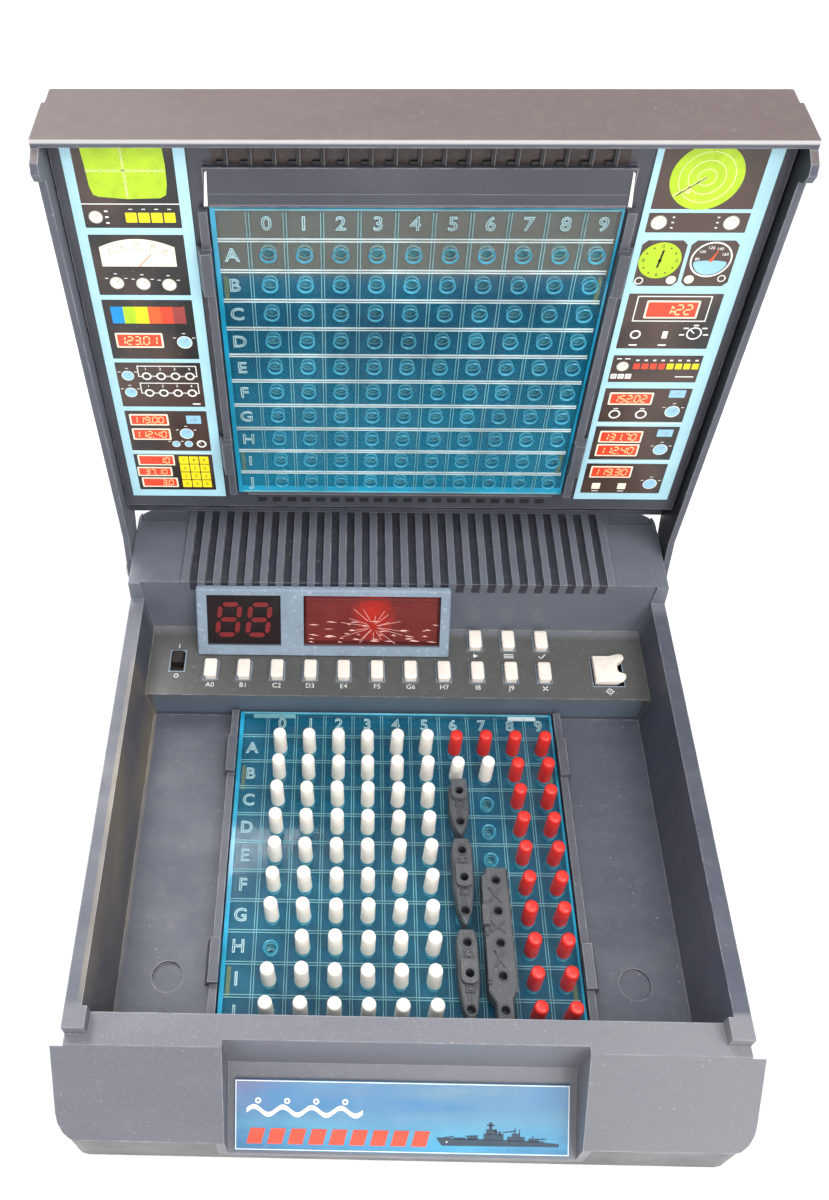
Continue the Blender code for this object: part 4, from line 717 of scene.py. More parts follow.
def hole_at(column, row):
    """A hole's place on a board's own plane."""
    return (-BOARD_HALF + (column + 1.5) * PITCH, BOARD_HALF - (row + 1.5) * PITCH)


# ---------------------------------------------------------------- boards

RIDGE_GAP = 0.44
RIDGE_HIGH = 0.32
RIM_RADIUS = 2.65
TUBE_RADIUS = 2.35
TUBE_DEPTH = 5.6


def board_detail(name, matrix, body, *, bright_rows, labels_on_top):
    """Ridges between the cells, rims and tubes round the holes, and the raised labels."""
    board = Relief(name, matrix, body)
    edge = BOARD_HALF - 1.6
    for k in range(1, 11):
        along = -BOARD_HALF + k * PITCH
        for side in (-1, 1):
            u = along + side * RIDGE_GAP
            board.bar("ridge", u - 0.13, -edge, u + 0.13, edge, 0.0, RIDGE_HIGH)
            v = BOARD_HALF - k * PITCH + side * RIDGE_GAP
            tone = "bright_ridge" if bright_rows else "ridge"
            board.bar(tone, -edge, v - 0.15, edge, v + 0.15, 0.0, RIDGE_HIGH * 1.1)
    rims = bmesh.new()
    tubes = bmesh.new()
    rim = [(TUBE_RADIUS - 0.45, 0.0), (RIM_RADIUS - 0.1, 0.0), (RIM_RADIUS, 0.22), (RIM_RADIUS - 0.18, 0.42),
           (TUBE_RADIUS - 0.15, 0.36), (TUBE_RADIUS - 0.45, 0.1)]
    tube = [(TUBE_RADIUS, -1.8), (TUBE_RADIUS - 0.12, -TUBE_DEPTH + 0.5), (TUBE_RADIUS - 0.5, -TUBE_DEPTH),
            (1.0, -TUBE_DEPTH), (1.0, -TUBE_DEPTH + 0.35), (TUBE_RADIUS - 0.6, -TUBE_DEPTH + 0.4),
            (TUBE_RADIUS - 0.42, -1.8)]
    for column in range(10):
        for row in range(10):
            u, v = hole_at(column, row)
            spot = Matrix.Translation((u, v, 0))
            hoop(rims, rim, spot)
            hoop(tubes, tube, spot)
    finished(f"{name}_rims", rims, matrix, "rim", body, smooth=50)
    finished(f"{name}_tubes", tubes, matrix, "tube", body, smooth=50)
    for row, letter in enumerate("ABCDEFGHIJ"):
        spot = (-BOARD_HALF + PITCH * 0.5, hole_at(0, row)[1])
        board.words("letter", letter, spot, 4.4, 0.05, 0.35, outline=0.42)
    if labels_on_top:
        for column in range(10):
            spot = (hole_at(column, 0)[0], BOARD_HALF - PITCH * 0.5)
            board.words("letter", str(column), spot, 4.4, 0.05, 0.35, outline=0.42)
    if not bright_rows:
        for tone, left, right in (("ridge", -54.0, -38.0), ("bright_ridge", 42.5, 53.0)):
            board.prism(tone, rounded_rect(left, BOARD_HALF - 2.9, right, BOARD_HALF - 1.2, 0.4), 0.0, 0.3)
    far = BOARD_HALF - 0.1
    low = -far + (3.4 if bright_rows else 0.9)
    strips = ((-far, -far, -far + 1.5, far), (far - 0.8, -far, far, far),
              (-far + 1.5, far - 1.0, far - 0.8, far), (-far + 1.5, -far, far - 0.8, low))
    for left, bottom, right, top in strips:
        board.prism("edge_blue", rounded_rect(left, bottom, right, top, 0.1), 0.0, 0.1)
    for column in (0, 10):
        for v in (-0.74, 0.52):
            u = -BOARD_HALF + 2.2 if column == 0 else BOARD_HALF - 3.6
            middle = v * BOARD_HALF
            board.prism("edge_tint", rounded_rect(u, middle - 5.0, u + 1.4, middle + 5.0, 0.3), 0.0, 0.16)
    board.prism("ridge", rounded_rect(-edge, -BOARD_HALF + 0.5, edge, -BOARD_HALF + 1.0, 0.1), 0.0, 0.4)
    board.prism("ridge", rounded_rect(-edge, BOARD_HALF - 0.9, edge, BOARD_HALF - 0.4, 0.1), 0.0, 0.4)
    board.build()


def hoop(mesh, section, matrix, steps=20):
    """Adds a ring that is turned from a closed section of (radius, height) points."""
    loops = []
    for k in range(steps):
        angle = 2 * math.pi * k / steps
        loop = []
        for radius, height in section:
            point = Vector((radius * math.cos(angle), radius * math.sin(angle), height))
            loop.append(mesh.verts.new(matrix @ point))
        loops.append(loop)
    for k in range(steps):
        first, second = loops[k], loops[(k + 1) % steps]
        for i in range(len(section)):
            j = (i + 1) % len(section)
            mesh.faces.new((first[i], second[i], second[j], first[j]))


BASE_BOARD = place(BASE_BOARD_AT)
LID_BOARD = place(LID_BOARD_AT, math.radians(90))
board_detail("base_grid", BASE_BOARD, "base", bright_rows=False, labels_on_top=True)
board_detail("lid_grid", LID_BOARD, "lid", bright_rows=True, labels_on_top=True)


# ---------------------------------------------------------------- pegs

PEG_PROFILE = [(0, -3.3), (1.1, -3.3), (1.32, -2.9), (1.36, 0.06), (2.34, 0.08), (2.44, 0.3), (2.42, 1.2),
               (2.36, 6.0), (2.3, 11.2), (2.2, 11.75), (1.95, 12.1), (1.5, 12.27), (0.8, 12.33), (0, 12.34)]


def peg_matrix(column, row, wobble):
    u, v = hole_at(column, row)
    lean = Matrix.Rotation(wobble.uniform(-0.018, 0.018), 4, "X")
    lean = lean @ Matrix.Rotation(wobble.uniform(-0.018, 0.018), 4, "Y")
    drop = wobble.uniform(0.0, 0.12)
    return Matrix.Translation((u, v, drop)) @ lean


def peg_rows():
    wobble = random.Random(11)
    white, red = bmesh.new(), bmesh.new()
    for row in range(10):
        for column in range(10):
            spot = (column, row)
            matrix = peg_matrix(column, row, wobble)
            if spot in (FRAME_WHITE, FRAME_RED) or spot in EMPTY_HOLES:
                continue
            if column in WHITE_COLUMNS or spot in EXTRA_WHITE:
                lathe(white, PEG_PROFILE, matrix)
            elif column in RED_COLUMNS or spot in EXTRA_RED:
                lathe(red, PEG_PROFILE, matrix)
    finished("pegs_white_rows", white, BASE_BOARD, "peg_white", "base", smooth=40)
    finished("pegs_red_rows", red, BASE_BOARD, "peg_red", "base", smooth=40)
    for name, spot in (("peg_white", FRAME_WHITE), ("peg_red", FRAME_RED)):
        single = bmesh.new()
        lathe(single, PEG_PROFILE, Matrix.Translation((*hole_at(*spot), 0.0)), steps=32)
        piece = finished(f"{name}_turned", single, BASE_BOARD, name, name, smooth=40)
        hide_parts(name)


peg_rows()


# ---------------------------------------------------------------- instrument sheets


def needle_meter(art, left, low, right, high):
    """A pale panel meter with an arched top, numbers and a needle."""
    middle = (left + right) / 2
    rise = high - low
    top = [(left + (right - left) * k / 16, high - rise * 0.3 * (2 * k / 16 - 1) ** 2) for k in range(17)]
    art.flat("cream", [(left, low)] + [(right, low)] + top[::-1], 2)
    for k in range(5):
        angle = math.radians(150 - 30 * k)
        u = middle + 9.6 * math.cos(angle)
        v = low - 1.2 + 8.9 * (0.55 + 0.45 * math.sin(angle))
        art.words("grey_mark", str(k * 10), (u, v - 0.2), 1.15, 0.09, 0.14)
    for k in range(21):
        angle = math.radians(148 - 116 * k / 20)
        u = middle + 9.6 * math.cos(angle)
        v = low - 2.8 + 8.9 * (0.55 + 0.45 * math.sin(angle))
        art.rect("grey_mark", u - 0.13, v - 0.2, u + 0.13, v + 0.2, 3)
    art.line("orange", [(middle, low + 0.1), (middle + 4.0, low + 4.3)], 0.22, 4)


def knob(art, tone, u, v, radius, marks=3):
    art.disc(tone, (u, v), radius, 3)
    art.ring("grey_mark" if tone == "cream" else "white", (u, v), radius, radius * 0.9, 4)
    art.line("grey_mark", [(u, v), (u + radius * 0.5, v + radius * 0.62)], 0.2, 4)
    for k in range(marks):
        angle = math.radians(150 - 60 * k)
        mu, mv = u + (radius + 1.1) * math.cos(angle), v + (radius + 1.0) * math.sin(angle)
        art.rect("white", mu - 0.5, mv - 0.12, mu + 0.5, mv + 0.12, 2)


def readout(art, left, low, right, high, text, align="middle"):
    art.rect("cream", left, low, right, high, 2, 0.4)
    art.rect("red_block", left + 0.6, low + 0.6, right - 0.6, high - 0.6, 3, 0.25)
    height = (high - low) * 0.52
    step = height * 0.84
    length = sum(height * 0.14 if c in ".:" else step for c in text)
    start = right - 1.2 - length if align == "right" else (left + right) / 2 - length / 2 + 0.1
    art.digits("readout_digit", text, start, (low + high) / 2 - height / 2, height, 4, thick=0.14)


def small_meter(art, left, low, right, high):
    art.rect("sky", left, low, right, high, 2, 0.15)
    art.arc("grey_mark", ((left + right) / 2, low + 0.2), (right - left) * 0.34, 35, 145, 0.16, 3, 8)
    art.line("grey_mark", [((left + right) / 2, low + 0.3), ((left + right) / 2 + 0.8, high - 0.6)], 0.14, 3)


def panel(art, left, low, right, high, corner=0.25):
    art.rect("black", left, low, right, high, 1, corner)


def left_sheet(art):
    left, right = -95.6, -67.5
    art.rect("sheet", -97.8, 92.9, -64.4, 231.9, 0.4, 0.3)
    for low, high in ((206.1, 231.9), (182.5, 203.8), (157.4, 180.7), (136.6, 155.8), (115.7, 134.6),
                      (95.6, 113.8)):
        panel(art, left, low, right, high)
    screen = [(-93.0, 231.5), (-92.6, 226.0), (-92.3, 219.5), (-91.6, 216.8), (-90.0, 216.2), (-82.0, 215.5),
              (-72.6, 215.8), (-70.9, 216.8), (-70.3, 220.0), (-70.1, 226.0), (-70.4, 231.5)]
    art.flat("lime", screen, 2)
    art.line("lime_line", [(-81.9, 215.9), (-81.9, 231.4)], 0.42, 3)
    art.line("lime_line", [(-92.6, 224.3), (-70.3, 224.3)], 0.42, 3)
    for k in range(12):
        u = -92.0 + 1.9 * k
        art.line("lime_line", [(u, 223.6), (u, 225.0)], 0.22, 3)
    for k in range(8):
        v = 217.0 + 1.9 * k
        art.line("lime_line", [(-82.6, v), (-81.2, v)], 0.22, 3)
    art.line("white", [(left, 213.9), (right, 213.9)], 0.3, 2)
    knob(art, "cream", -92.1, 209.7, 2.1, 0)
    for k in range(3):
        art.rect("white", -89.4, 211.3 - 1.9 * k, -88.4, 211.8 - 1.9 * k, 2)
    for k in range(4):
        u = -83.5 + 3.72 * k
        art.rect("yellow", u, 207.9, u + 3.25, 211.1, 2, 0.2)
        art.rect("white", u + 1.2, 212.1, u + 2.3, 212.35, 2)
    needle_meter(art, -93.0, 192.9, -70.6, 202.4)
    for u, v in ((-89.6, 187.0), (-81.6, 186.7), (-73.7, 186.4)):
        knob(art, "cream", u, v, 2.25)
    for k, tone in enumerate(("blue", "lime", "yellow", "orange", "red_block", "brown_red")):
        u = -93.3 + 3.87 * k
        art.rect(tone, u, 171.7, u + 3.87, 178.1, 2)
    readout(art, -93.5, 162.0, -78.3, 167.9, "123.01")
    knob(art, "sky", -71.5, 164.3, 2.45)
    for v in (150.1, 142.8):
        art.frame("white", -88.5, v - 0.3, -68.9, v + 4.4, 0.32, 2)
        for k in range(4):
            u = -85.7 + 4.78 * k
            if k < 3:
                art.line("white", [(u, v), (u + 4.78, v)], 0.3, 2)
            art.disc("black", (u, v), 1.6, 2.4)
            art.ring("white", (u, v), 1.6, 1.05, 3)
            art.words("white", "1234"[k], (u, v + 3.0), 1.1, 0.05, 0.12)
        knob(art, "sky", -91.9, v + 0.2, 2.05)
    art.rect("white", -71.7, 137.6, -69.1, 138.2, 2)
    readout(art, -94.3, 127.9, -80.9, 133.1, "119.00")
    readout(art, -94.3, 121.0, -80.9, 126.4, "112.40")
    small_meter(art, -74.7, 128.8, -69.7, 132.5)
    knob(art, "sky", -75.3, 124.1, 2.4)
    knob(art, "sky", -79.5, 119.1, 1.45, 1)
    knob(art, "sky", -75.1, 119.1, 1.45, 1)
    art.ring("white", (-70.6, 119.1), 1.75, 1.15, 2)
    art.line("white", [(-71.4, 119.9), (-70.9, 119.3)], 0.3, 2)
    art.line("white", [(left, 115.2), (right, 114.4)], 0.3, 1)
    readout(art, -94.3, 108.3, -81.1, 113.5, "10", "right")
    readout(art, -95.2, 102.7, -82.6, 107.4, "37.10", "right")
    readout(art, -94.3, 97.0, -81.1, 101.9, "3.0", "right")
    labels = iter("789456123")
    for row in range(4):
        for column in range(3):
            u, v = -79.5 + 3.65 * column, 109.2 - 4.05 * row
            art.rect("yellow", u, v, u + 3.3, v + 3.65, 2, 0.2)
            art.words("dark_yellow", next(labels, "0"), (u + 1.65, v + 1.8), 1.3, 0.1, 0.15)


def right_sheet(art):
    left, right = 66.1, 94.7
    art.rect("sheet", 64.4, 92.9, 98.0, 231.9, 0.4, 0.3)
    for low, high in ((212.7, 231.9), (205.1, 211.5), (162.7, 183.8), (148.7, 159.9), (131.0, 146.0),
                      (112.9, 128.8), (95.6, 110.8)):
        panel(art, left, low, right, high)
    centre = (79.5, 222.6)
    radar = [p for p in around(centre, 10.1, 60) if p[1] < 231.6]
    art.flat("lime", radar, 2)
    for radius in (2.5, 5.1):
        art.ring("lime_line", centre, radius + 0.16, radius - 0.16, 3, 40)
    art.arc("lime_line", centre, 7.7, 92, 448, 0.32, 3, 48)
    for turn in (0, 1):
        u = centre[0] - 7.6 - turn * 0.5
        art.line("lime_line", [centre, (u, centre[1] - 5.8)], 0.3 + 0.5 * turn, 3)
    art.disc("lime_line", (75.2, 218.3), 0.75, 4)
    for k, u in enumerate((69.4, 90.0)):
        knob(art, "cream", u, 208.4, 2.35, 0)
        for step in range(3):
            mark = 73.0 if k == 0 else 85.7
            art.rect("white", mark, 209.9 - 1.7 * step, mark + 0.7, 210.3 - 1.7 * step, 2)
    for u0, u1 in ((66.3, 79.5), (80.6, 94.5)):
        cut = 1.5
        art.flat("black", [(u0 + cut, 186.6), (u1 - cut, 186.6), (u1, 186.6 + cut), (u1, 202.5 - cut),
                           (u1 - cut, 202.5), (u0 + cut, 202.5), (u0, 202.5 - cut), (u0, 186.6 + cut)], 1)
    dial = (72.6, 195.6)
    art.disc("lime", dial, 6.2, 2, 40)
    for k in range(12):
        angle = math.radians(30 * k)
        u, v = dial[0] + 4.9 * math.cos(angle), dial[1] + 4.9 * math.sin(angle)
        if k % 3 == 0:
            art.words("dark_yellow", str((15 - k) % 12), (u, v), 1.3, 0.1, 0.15)
        else:
            art.disc("dark_yellow", (u, v), 0.32, 3, 8)
    art.flat("module", [(72.0, 193.3), (72.5, 193.1), (73.3, 199.0), (73.0, 199.4), (72.7, 199.0)], 4)
    art.disc("module", dial, 0.5, 4, 12)
    art.ring("white", (67.9, 188.5), 1.3, 0.95, 2)
    art.disc("cream", (77.4, 188.8), 1.45, 2)
    gauge = (87.5, 196.0)
    art.ring("white", gauge, 6.1, 5.6, 2, 44)
    art.flat("sky", [(gauge[0] + u, gauge[1] + v) for u, v in
                     [(5.1 * math.cos(math.radians(a)), 5.1 * math.sin(math.radians(a)) - 0.2)
                      for a in range(196, 345, 8)]] +
             [(gauge[0] + 5.1 * math.sin(math.radians(a)), gauge[1] - 1.2 + 0.9 * math.cos(math.radians(a)))
              for a in range(70, -71, -10)], 2)
    for k in range(5):
        angle = math.radians(178 - 38 * k)
        u, v = gauge[0] + 4.1 * math.cos(angle), gauge[1] + 4.1 * math.sin(angle)
        art.words("white", str(80 + 20 * k), (u, v), 0.95, 0.05, 0.1)
    art.flat("orange", [(86.8, 195.3), (87.9, 195.3), (89.1, 199.6)], 3)
    art.disc("cream", (82.7, 189.0), 1.45, 2)
    art.ring("white", (92.3, 189.4), 1.2, 0.9, 2)
    art.frame("white", 68.9, 173.4, 91.6, 183.0, 0.35, 2)
    readout(art, 72.1, 174.6, 88.5, 181.3, "1:22", "right")
    art.ring("white", (71.1, 168.3), 1.7, 1.15, 2)
    art.rect("white", 79.5, 166.8, 81.1, 169.6, 2)
    art.ring("white", (89.3, 168.8), 2.4, 1.95, 2)
    art.line("white", [(89.3, 168.8), (87.9, 170.2)], 0.35, 2)
    for k in range(5):
        angle = math.radians(190 - 50 * k)
        u, v = 89.3 + 3.8 * math.cos(angle), 168.8 + 3.1 * math.sin(angle)
        art.rect("white", u - 0.8, v - 0.25, u + 0.8, v + 0.25, 2)
    for u in (71.1, 80.3):
        art.rect("white", u - 1.3, 163.9, u + 1.3, 164.4, 2)
    knob(art, "cream", 69.7, 155.4, 2.0, 0)
    art.rect("white", 67.3, 158.3, 68.9, 158.7, 2)
    art.rect("white", 69.9, 158.3, 71.6, 158.7, 2)
    for k in range(8):
        u = 73.1 + 2.7 * k
        art.rect("red_block" if k < 4 else "yellow", u, 154.3, u + 2.1, 156.6, 2, 0.1)
        art.rect("white", u + 0.5, 157.6, u + 1.5, 158.2, 2)
    for k in range(3):
        u = 66.6 + 2.35 * k
        art.rect("white", u, 150.2, u + 1.95, 152.2, 2, 0.15)
        art.ring("grey_mark", (u + 0.97, 151.2), 0.5, 0.25, 3, 10)
    art.rect("white", 87.5, 150.9, 93.5, 151.3, 2)
    readout(art, 67.9, 138.8, 82.5, 144.2, "152.02")
    small_meter(art, 87.5, 142.1, 92.8, 145.3)
    for u in (71.1, 80.0):
        art.ring("white", (u, 134.5), 1.95, 1.4, 2)
        art.rect("white", u - 0.8, 136.9, u + 0.8, 137.2, 2)
    knob(art, "sky", 90.2, 135.9, 2.5)
    art.line("white", [(left, 129.9), (right, 130.3)], 0.3, 1)
    readout(art, 67.9, 121.2, 82.7, 126.7, "131.70")
    readout(art, 67.9, 114.6, 82.7, 120.4, "112.40")
    small_meter(art, 87.5, 124.2, 92.8, 127.5)
    knob(art, "sky", 90.2, 118.0, 2.5)
    art.line("white", [(left, 111.7), (right, 112.1)], 0.3, 1)
    readout(art, 67.9, 103.7, 82.7, 109.5, "119.30")
    for u in (69.7, 79.0):
        art.rect("cream", u, 97.8, u + 3.0, 100.8, 2, 0.15)
        art.rect("white", u + 0.4, 96.6, u + 2.6, 96.9, 2)
    knob(art, "sky", 90.4, 100.6, 2.5)


for side, draw in (("left", left_sheet), ("right", right_sheet)):
    art = Relief(f"sheet_{side}", place((0, SHEET_Y, 0), math.radians(90)), "lid")
    draw(art)
    art.build()


# ---------------------------------------------------------------- lid panel


def lid_panel_detail():
    """The ribbed strip over the slab, a painted highlight on the slab's ends, the slab's edge, and the slots
    under the board.
    """
    strip = Relief("lid_strip", place((0, PANEL_Y, 0), math.radians(90)), "lid")
    low, high = 226.0, 233.4
    strip.rect("strip_brown", -57.5, low, 57.5, high, 2)
    for k in range(-8, 9):
        u = 6.66 * k
        strip.bar("strip_dark", u - 0.5, low, u + 0.5, high, 0.0, 1.2)
        strip.bar("strip_edge", u + 0.5, low, u + 0.72, high, 0.0, 1.1)
        strip.bar("strip_dark", u - 2.6, low, u - 0.5, low + 1.3, 0.0, 0.9)
    for k in range(20):
        u = -52.2 + 5.4 * k
        strip.bar("strip_dark", u, 89.3, u + 3.1, 91.2, 0.0, 0.3)
    strip.bar("strip_edge", -56, 93.4, 56, 93.9, 0.0, 0.8)
    strip.build()
    slab = Relief("lid_slab", place((0, SLAB_Y, 0), math.radians(90)), "lid")
    # Painted highlight: a white sliver at each end of the slab, where light catches the rails' front edges
    for side in (-1, 1):
        ends = [(59.2, 214.4), (60.3, 214.2), (59.2, 224.6), (58.6, 225.2)]
        slab.prism("white", [(side * u, v) for u, v in ends], -1.9, 0.25)
    slab.bar("strip_edge", -58.6, 214.3, 58.6, 214.7, 0.0, 0.12)
    slab.bar("strip_edge", -58.6, 217.9, 58.6, 218.1, 0.0, 0.08)
    slab.build()


lid_panel_detail()


# ---------------------------------------------------------------- display


def display_art():
    sunk = 0.7
    art = Relief("display", place(DISPLAY_AT, DISPLAY_TILT) @ Matrix.Translation((0, 0, -sunk * MM)), "base")
    for left in (-68.6, -57.0):
        art.digits("segment", "8", left, 8.6, 12.4, 1, wide=0.6, slant=0.13, thick=0.15)
    rnd = random.Random(4)
    art.rect("scene_dark", -34.6, 23.2, 14.9, 23.9, 1.5)
    for k in range(7):
        level = 6.3 + 1.35 * k
        u = -33.5
        while u < 14.0:
            length = rnd.uniform(1.2, 4.6)
            gap = rnd.uniform(1.0, 4.0) + 0.3 * k
            near = abs(u + 8.6)
            if rnd.random() < 0.66 - 0.05 * k or near < 3:
                v = level + rnd.uniform(-0.5, 0.5)
                rise = rnd.uniform(-0.5, 0.15) * length * 0.3
                width = rnd.uniform(0.22, 0.5)
                art.flat("wave", [(u, v), (u + length * 0.4, v + width + rise * 0.3), (u + length, v + rise),
                                  (u + length * 0.5, v - width * 0.3 + rise * 0.5)], 1)
            u += length + gap
    for k in range(30):
        angle = math.radians(12 * k + rnd.uniform(-5, 5))
        near, far = rnd.uniform(1.0, 3.0), rnd.uniform(4.5, 11.5)
        tip = (-8.6 + far * 1.15 * math.cos(angle), 12.4 + far * math.sin(angle))
        root = (-8.6 + near * math.cos(angle), 12.4 + near * math.sin(angle))
        if 5.0 < tip[1] < 22.4:
            art.line("wave" if k % 3 else "scene_dark", [root, tip], 0.13, 1)
    art.build()


display_art()


# ---------------------------------------------------------------- front plate


def front_plate_art():
    lift = Matrix.Translation((0, 0, PLATE_TOP * MM))
    art = Relief("plate", place(PLATE_AT, PLATE_TILT) @ lift, "base")
    wave = []
    for k in range(41):
        u = -48.6 + 36.4 * k / 40
        wave.append((u, 15.2 + 1.25 * math.sin(k * math.pi / 5)))
    under = [(u, v - 1.5) for u, v in wave]
    art.flat("plate_white", wave + under[::-1], 2)
    for k in range(4):
        art.ring("plate_white", (-45.0 + 9.1 * k, 17.6), 0.95, 0.45, 2, 18)
    for k in range(9):
        u = -48.6 + 6.45 * k
        art.flat("plate_red", [(u, 3.9), (u + 4.6, 3.9), (u + 5.9, 8.8), (u + 1.3, 8.8)], 2)
    hull = [(10.8, 6.9), (12.6, 4.4), (49.0, 4.6), (49.0, 5.5), (44.5, 5.9), (44.4, 6.3), (10.8, 6.9)]
    art.flat("plate_dark", hull[:-1], 2)
    blocks = [(16.5, 6.4, 20.0, 7.0), (20.5, 6.4, 23.8, 7.4), (25.6, 6.3, 31.8, 8.4), (26.4, 8.2, 29.8, 9.8),
              (27.3, 9.6, 28.3, 12.0), (26.6, 10.9, 29.0, 11.3), (33.0, 6.2, 38.4, 7.6),
              (34.4, 7.5, 37.0, 8.6), (35.2, 8.4, 35.6, 10.1),
              (36.6, 8.4, 36.9, 9.9), (39.6, 6.0, 42.8, 7.1), (40.8, 7.0, 41.1, 7.9),
              (30.4, 8.0, 31.0, 9.2)]
    for left, low, right, high in blocks:
        art.rect("plate_dark", left, low, right, high, 2)
    for line in ([(20.0, 7.5), (23.9, 7.7)], [(42.2, 6.9), (45.0, 7.0)], [(13.0, 6.8), (16.4, 7.4)],
                 [(31.6, 8.9), (35.4, 9.4)], [(28.9, 9.5), (31.0, 8.3)]):
        art.line("plate_dark", line, 0.3, 2)
    art.disc("plate_white", (14.1, 5.6), 0.25, 3, 10)
    art.frame("plate_white", -52.1, 1.9, 52.1, 24.0, 0.22, 1.2)
    art.build()


front_plate_art()


# ---------------------------------------------------------------- key deck


FIRST_KEY_X = -70.7
SHORT_ROW_X = 30.9
KEY_STEP = 12.7
SWITCH_X = -83.9
LARGE_KEY = (80.4, 48.3)
FRAME_WIDTH = 0.32


def deck_marks():
    """Captions and the thin frames round the keys. Function words are given as plain signs."""
    marks = Relief("deck_marks", place((0, 0, DECK_Z)), "base")
    for k, text in enumerate(("A0", "B1", "C2", "D3", "E4", "F5", "G6", "H7", "I8", "J9")):
        marks.words("ink", text, (FIRST_KEY_X + KEY_STEP * k, 40.4), 2.0, -0.02, 0.05)
    u, v = SHORT_ROW_X, 55.0
    marks.flat("ink", [(u - 0.9, v - 0.9), (u + 1.0, v), (u - 0.9, v + 0.9)], 1)
    u = SHORT_ROW_X + KEY_STEP
    for k in range(3):
        marks.rect("ink", u - 1.9, v - 0.9 + 0.75 * k, u + 1.9, v - 0.55 + 0.75 * k, 1)
    u = SHORT_ROW_X + 2 * KEY_STEP
    marks.line("ink", [(u - 1.2, v), (u - 0.3, v - 0.9), (u + 1.3, v + 0.9)], 0.4, 1)
    v = 40.4
    marks.line("ink", [(u - 0.9, v - 0.9), (u + 0.9, v + 0.9)], 0.4, 1)
    marks.line("ink", [(u - 0.9, v + 0.9), (u + 0.9, v - 0.9)], 0.4, 1)
    u, v = LARGE_KEY[0], 39.4
    marks.ring("ink", (u, v), 1.2, 0.8, 1)
    marks.disc("ink", (u, v), 0.3, 1, 10)
    for du, dv in ((1, 0), (-1, 0), (0, 1), (0, -1)):
        marks.line("ink", [(u + du * 0.9, v + dv * 0.9), (u + du * 1.7, v + dv * 1.7)], 0.3, 1)
    flange_low, flange_high = (corner.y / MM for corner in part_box("power_switch"))
    slot_low, slot_high = flange_low - 1.5, flange_high - 1.7
    marks.rect("ink", SWITCH_X - 0.2, slot_high + 1.6, SWITCH_X + 0.2, slot_high + 3.4, 1)
    marks.ring("ink", (SWITCH_X, slot_low - 2.2), 0.95, 0.6, 1)
    for k in range(11):
        x = FIRST_KEY_X + KEY_STEP * k
        marks.frame("bezel", x - 2.9, 42.5, x + 2.9, 51.2, FRAME_WIDTH, 3)
    for k in range(3):
        x = SHORT_ROW_X + KEY_STEP * k
        marks.frame("bezel", x - 2.9, 57.1, x + 2.9, 65.8, FRAME_WIDTH, 3)
    x = LARGE_KEY[0]
    marks.frame("bezel", x - 6.1, 41.5, x + 6.1, 54.9, FRAME_WIDTH, 3)
    marks.frame("bezel", SWITCH_X - 3.2, slot_low - 0.6, SWITCH_X + 3.2, slot_high + 0.6, 0.5, 4)
    marks.build()


deck_marks()


def broken_key():
    """The large key. A piece has broken out of its right side, and two curled fragments still hang on.

    The fragments reach past the key's opening, so they stay above the deck when the key is down.
    """
    left, low, high = 75.0, 42.3, 54.2
    outline = [(left, low), (83.6, low), (85.2, 42.5), (86.4, 43.6), (86.9, 45.2), (85.6, 45.9), (84.6, 46.6),
               (84.2, 47.8), (84.1, 49.2), (84.3, 50.4), (85.0, 51.0), (86.2, 51.6), (87.0, 53.0),
               (86.6, 54.6), (85.2, 55.3), (83.4, 54.9), (81.6, 54.3), (left, high)]
    mesh = bmesh.new()
    levels = [(0.15, 41.9), (0.0, 43.6), (0.35, 44.1), (0.9, 44.3)]
    centre = Vector(LARGE_KEY)
    loops = []
    for inset, z in levels:
        loop = []
        for u, v in outline:
            toward = (centre - Vector((u, v))).normalized() * inset
            hangs = u > 85.0 or v > 54.25
            level = max(z, 43.5) if hangs else z
            if z > 43 and u > 85.4:
                level += 0.45 * math.sin((u - 85.4) * 1.4)
            loop.append(mesh.verts.new((u + toward.x, v + toward.y, level)))
        loops.append(loop)
    count = len(outline)
    skin(mesh, loops)
    hub_top = mesh.verts.new((centre.x - 0.6, centre.y, 44.22))
    hub_low = mesh.verts.new((centre.x, centre.y, 41.9))
    for i in range(count):
        j = (i + 1) % count
        mesh.faces.new((loops[-1][i], loops[-1][j], hub_top))
        mesh.faces.new((loops[0][j], loops[0][i], hub_low))
    box(mesh, (77.0, 44.0, 38.4), (83.6, 52.6, 41.95))
    piece = finished("key_enter_broken", mesh, Matrix.Identity(4), "key", "key_enter_body", smooth=35)
    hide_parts("key_enter")


broken_key()


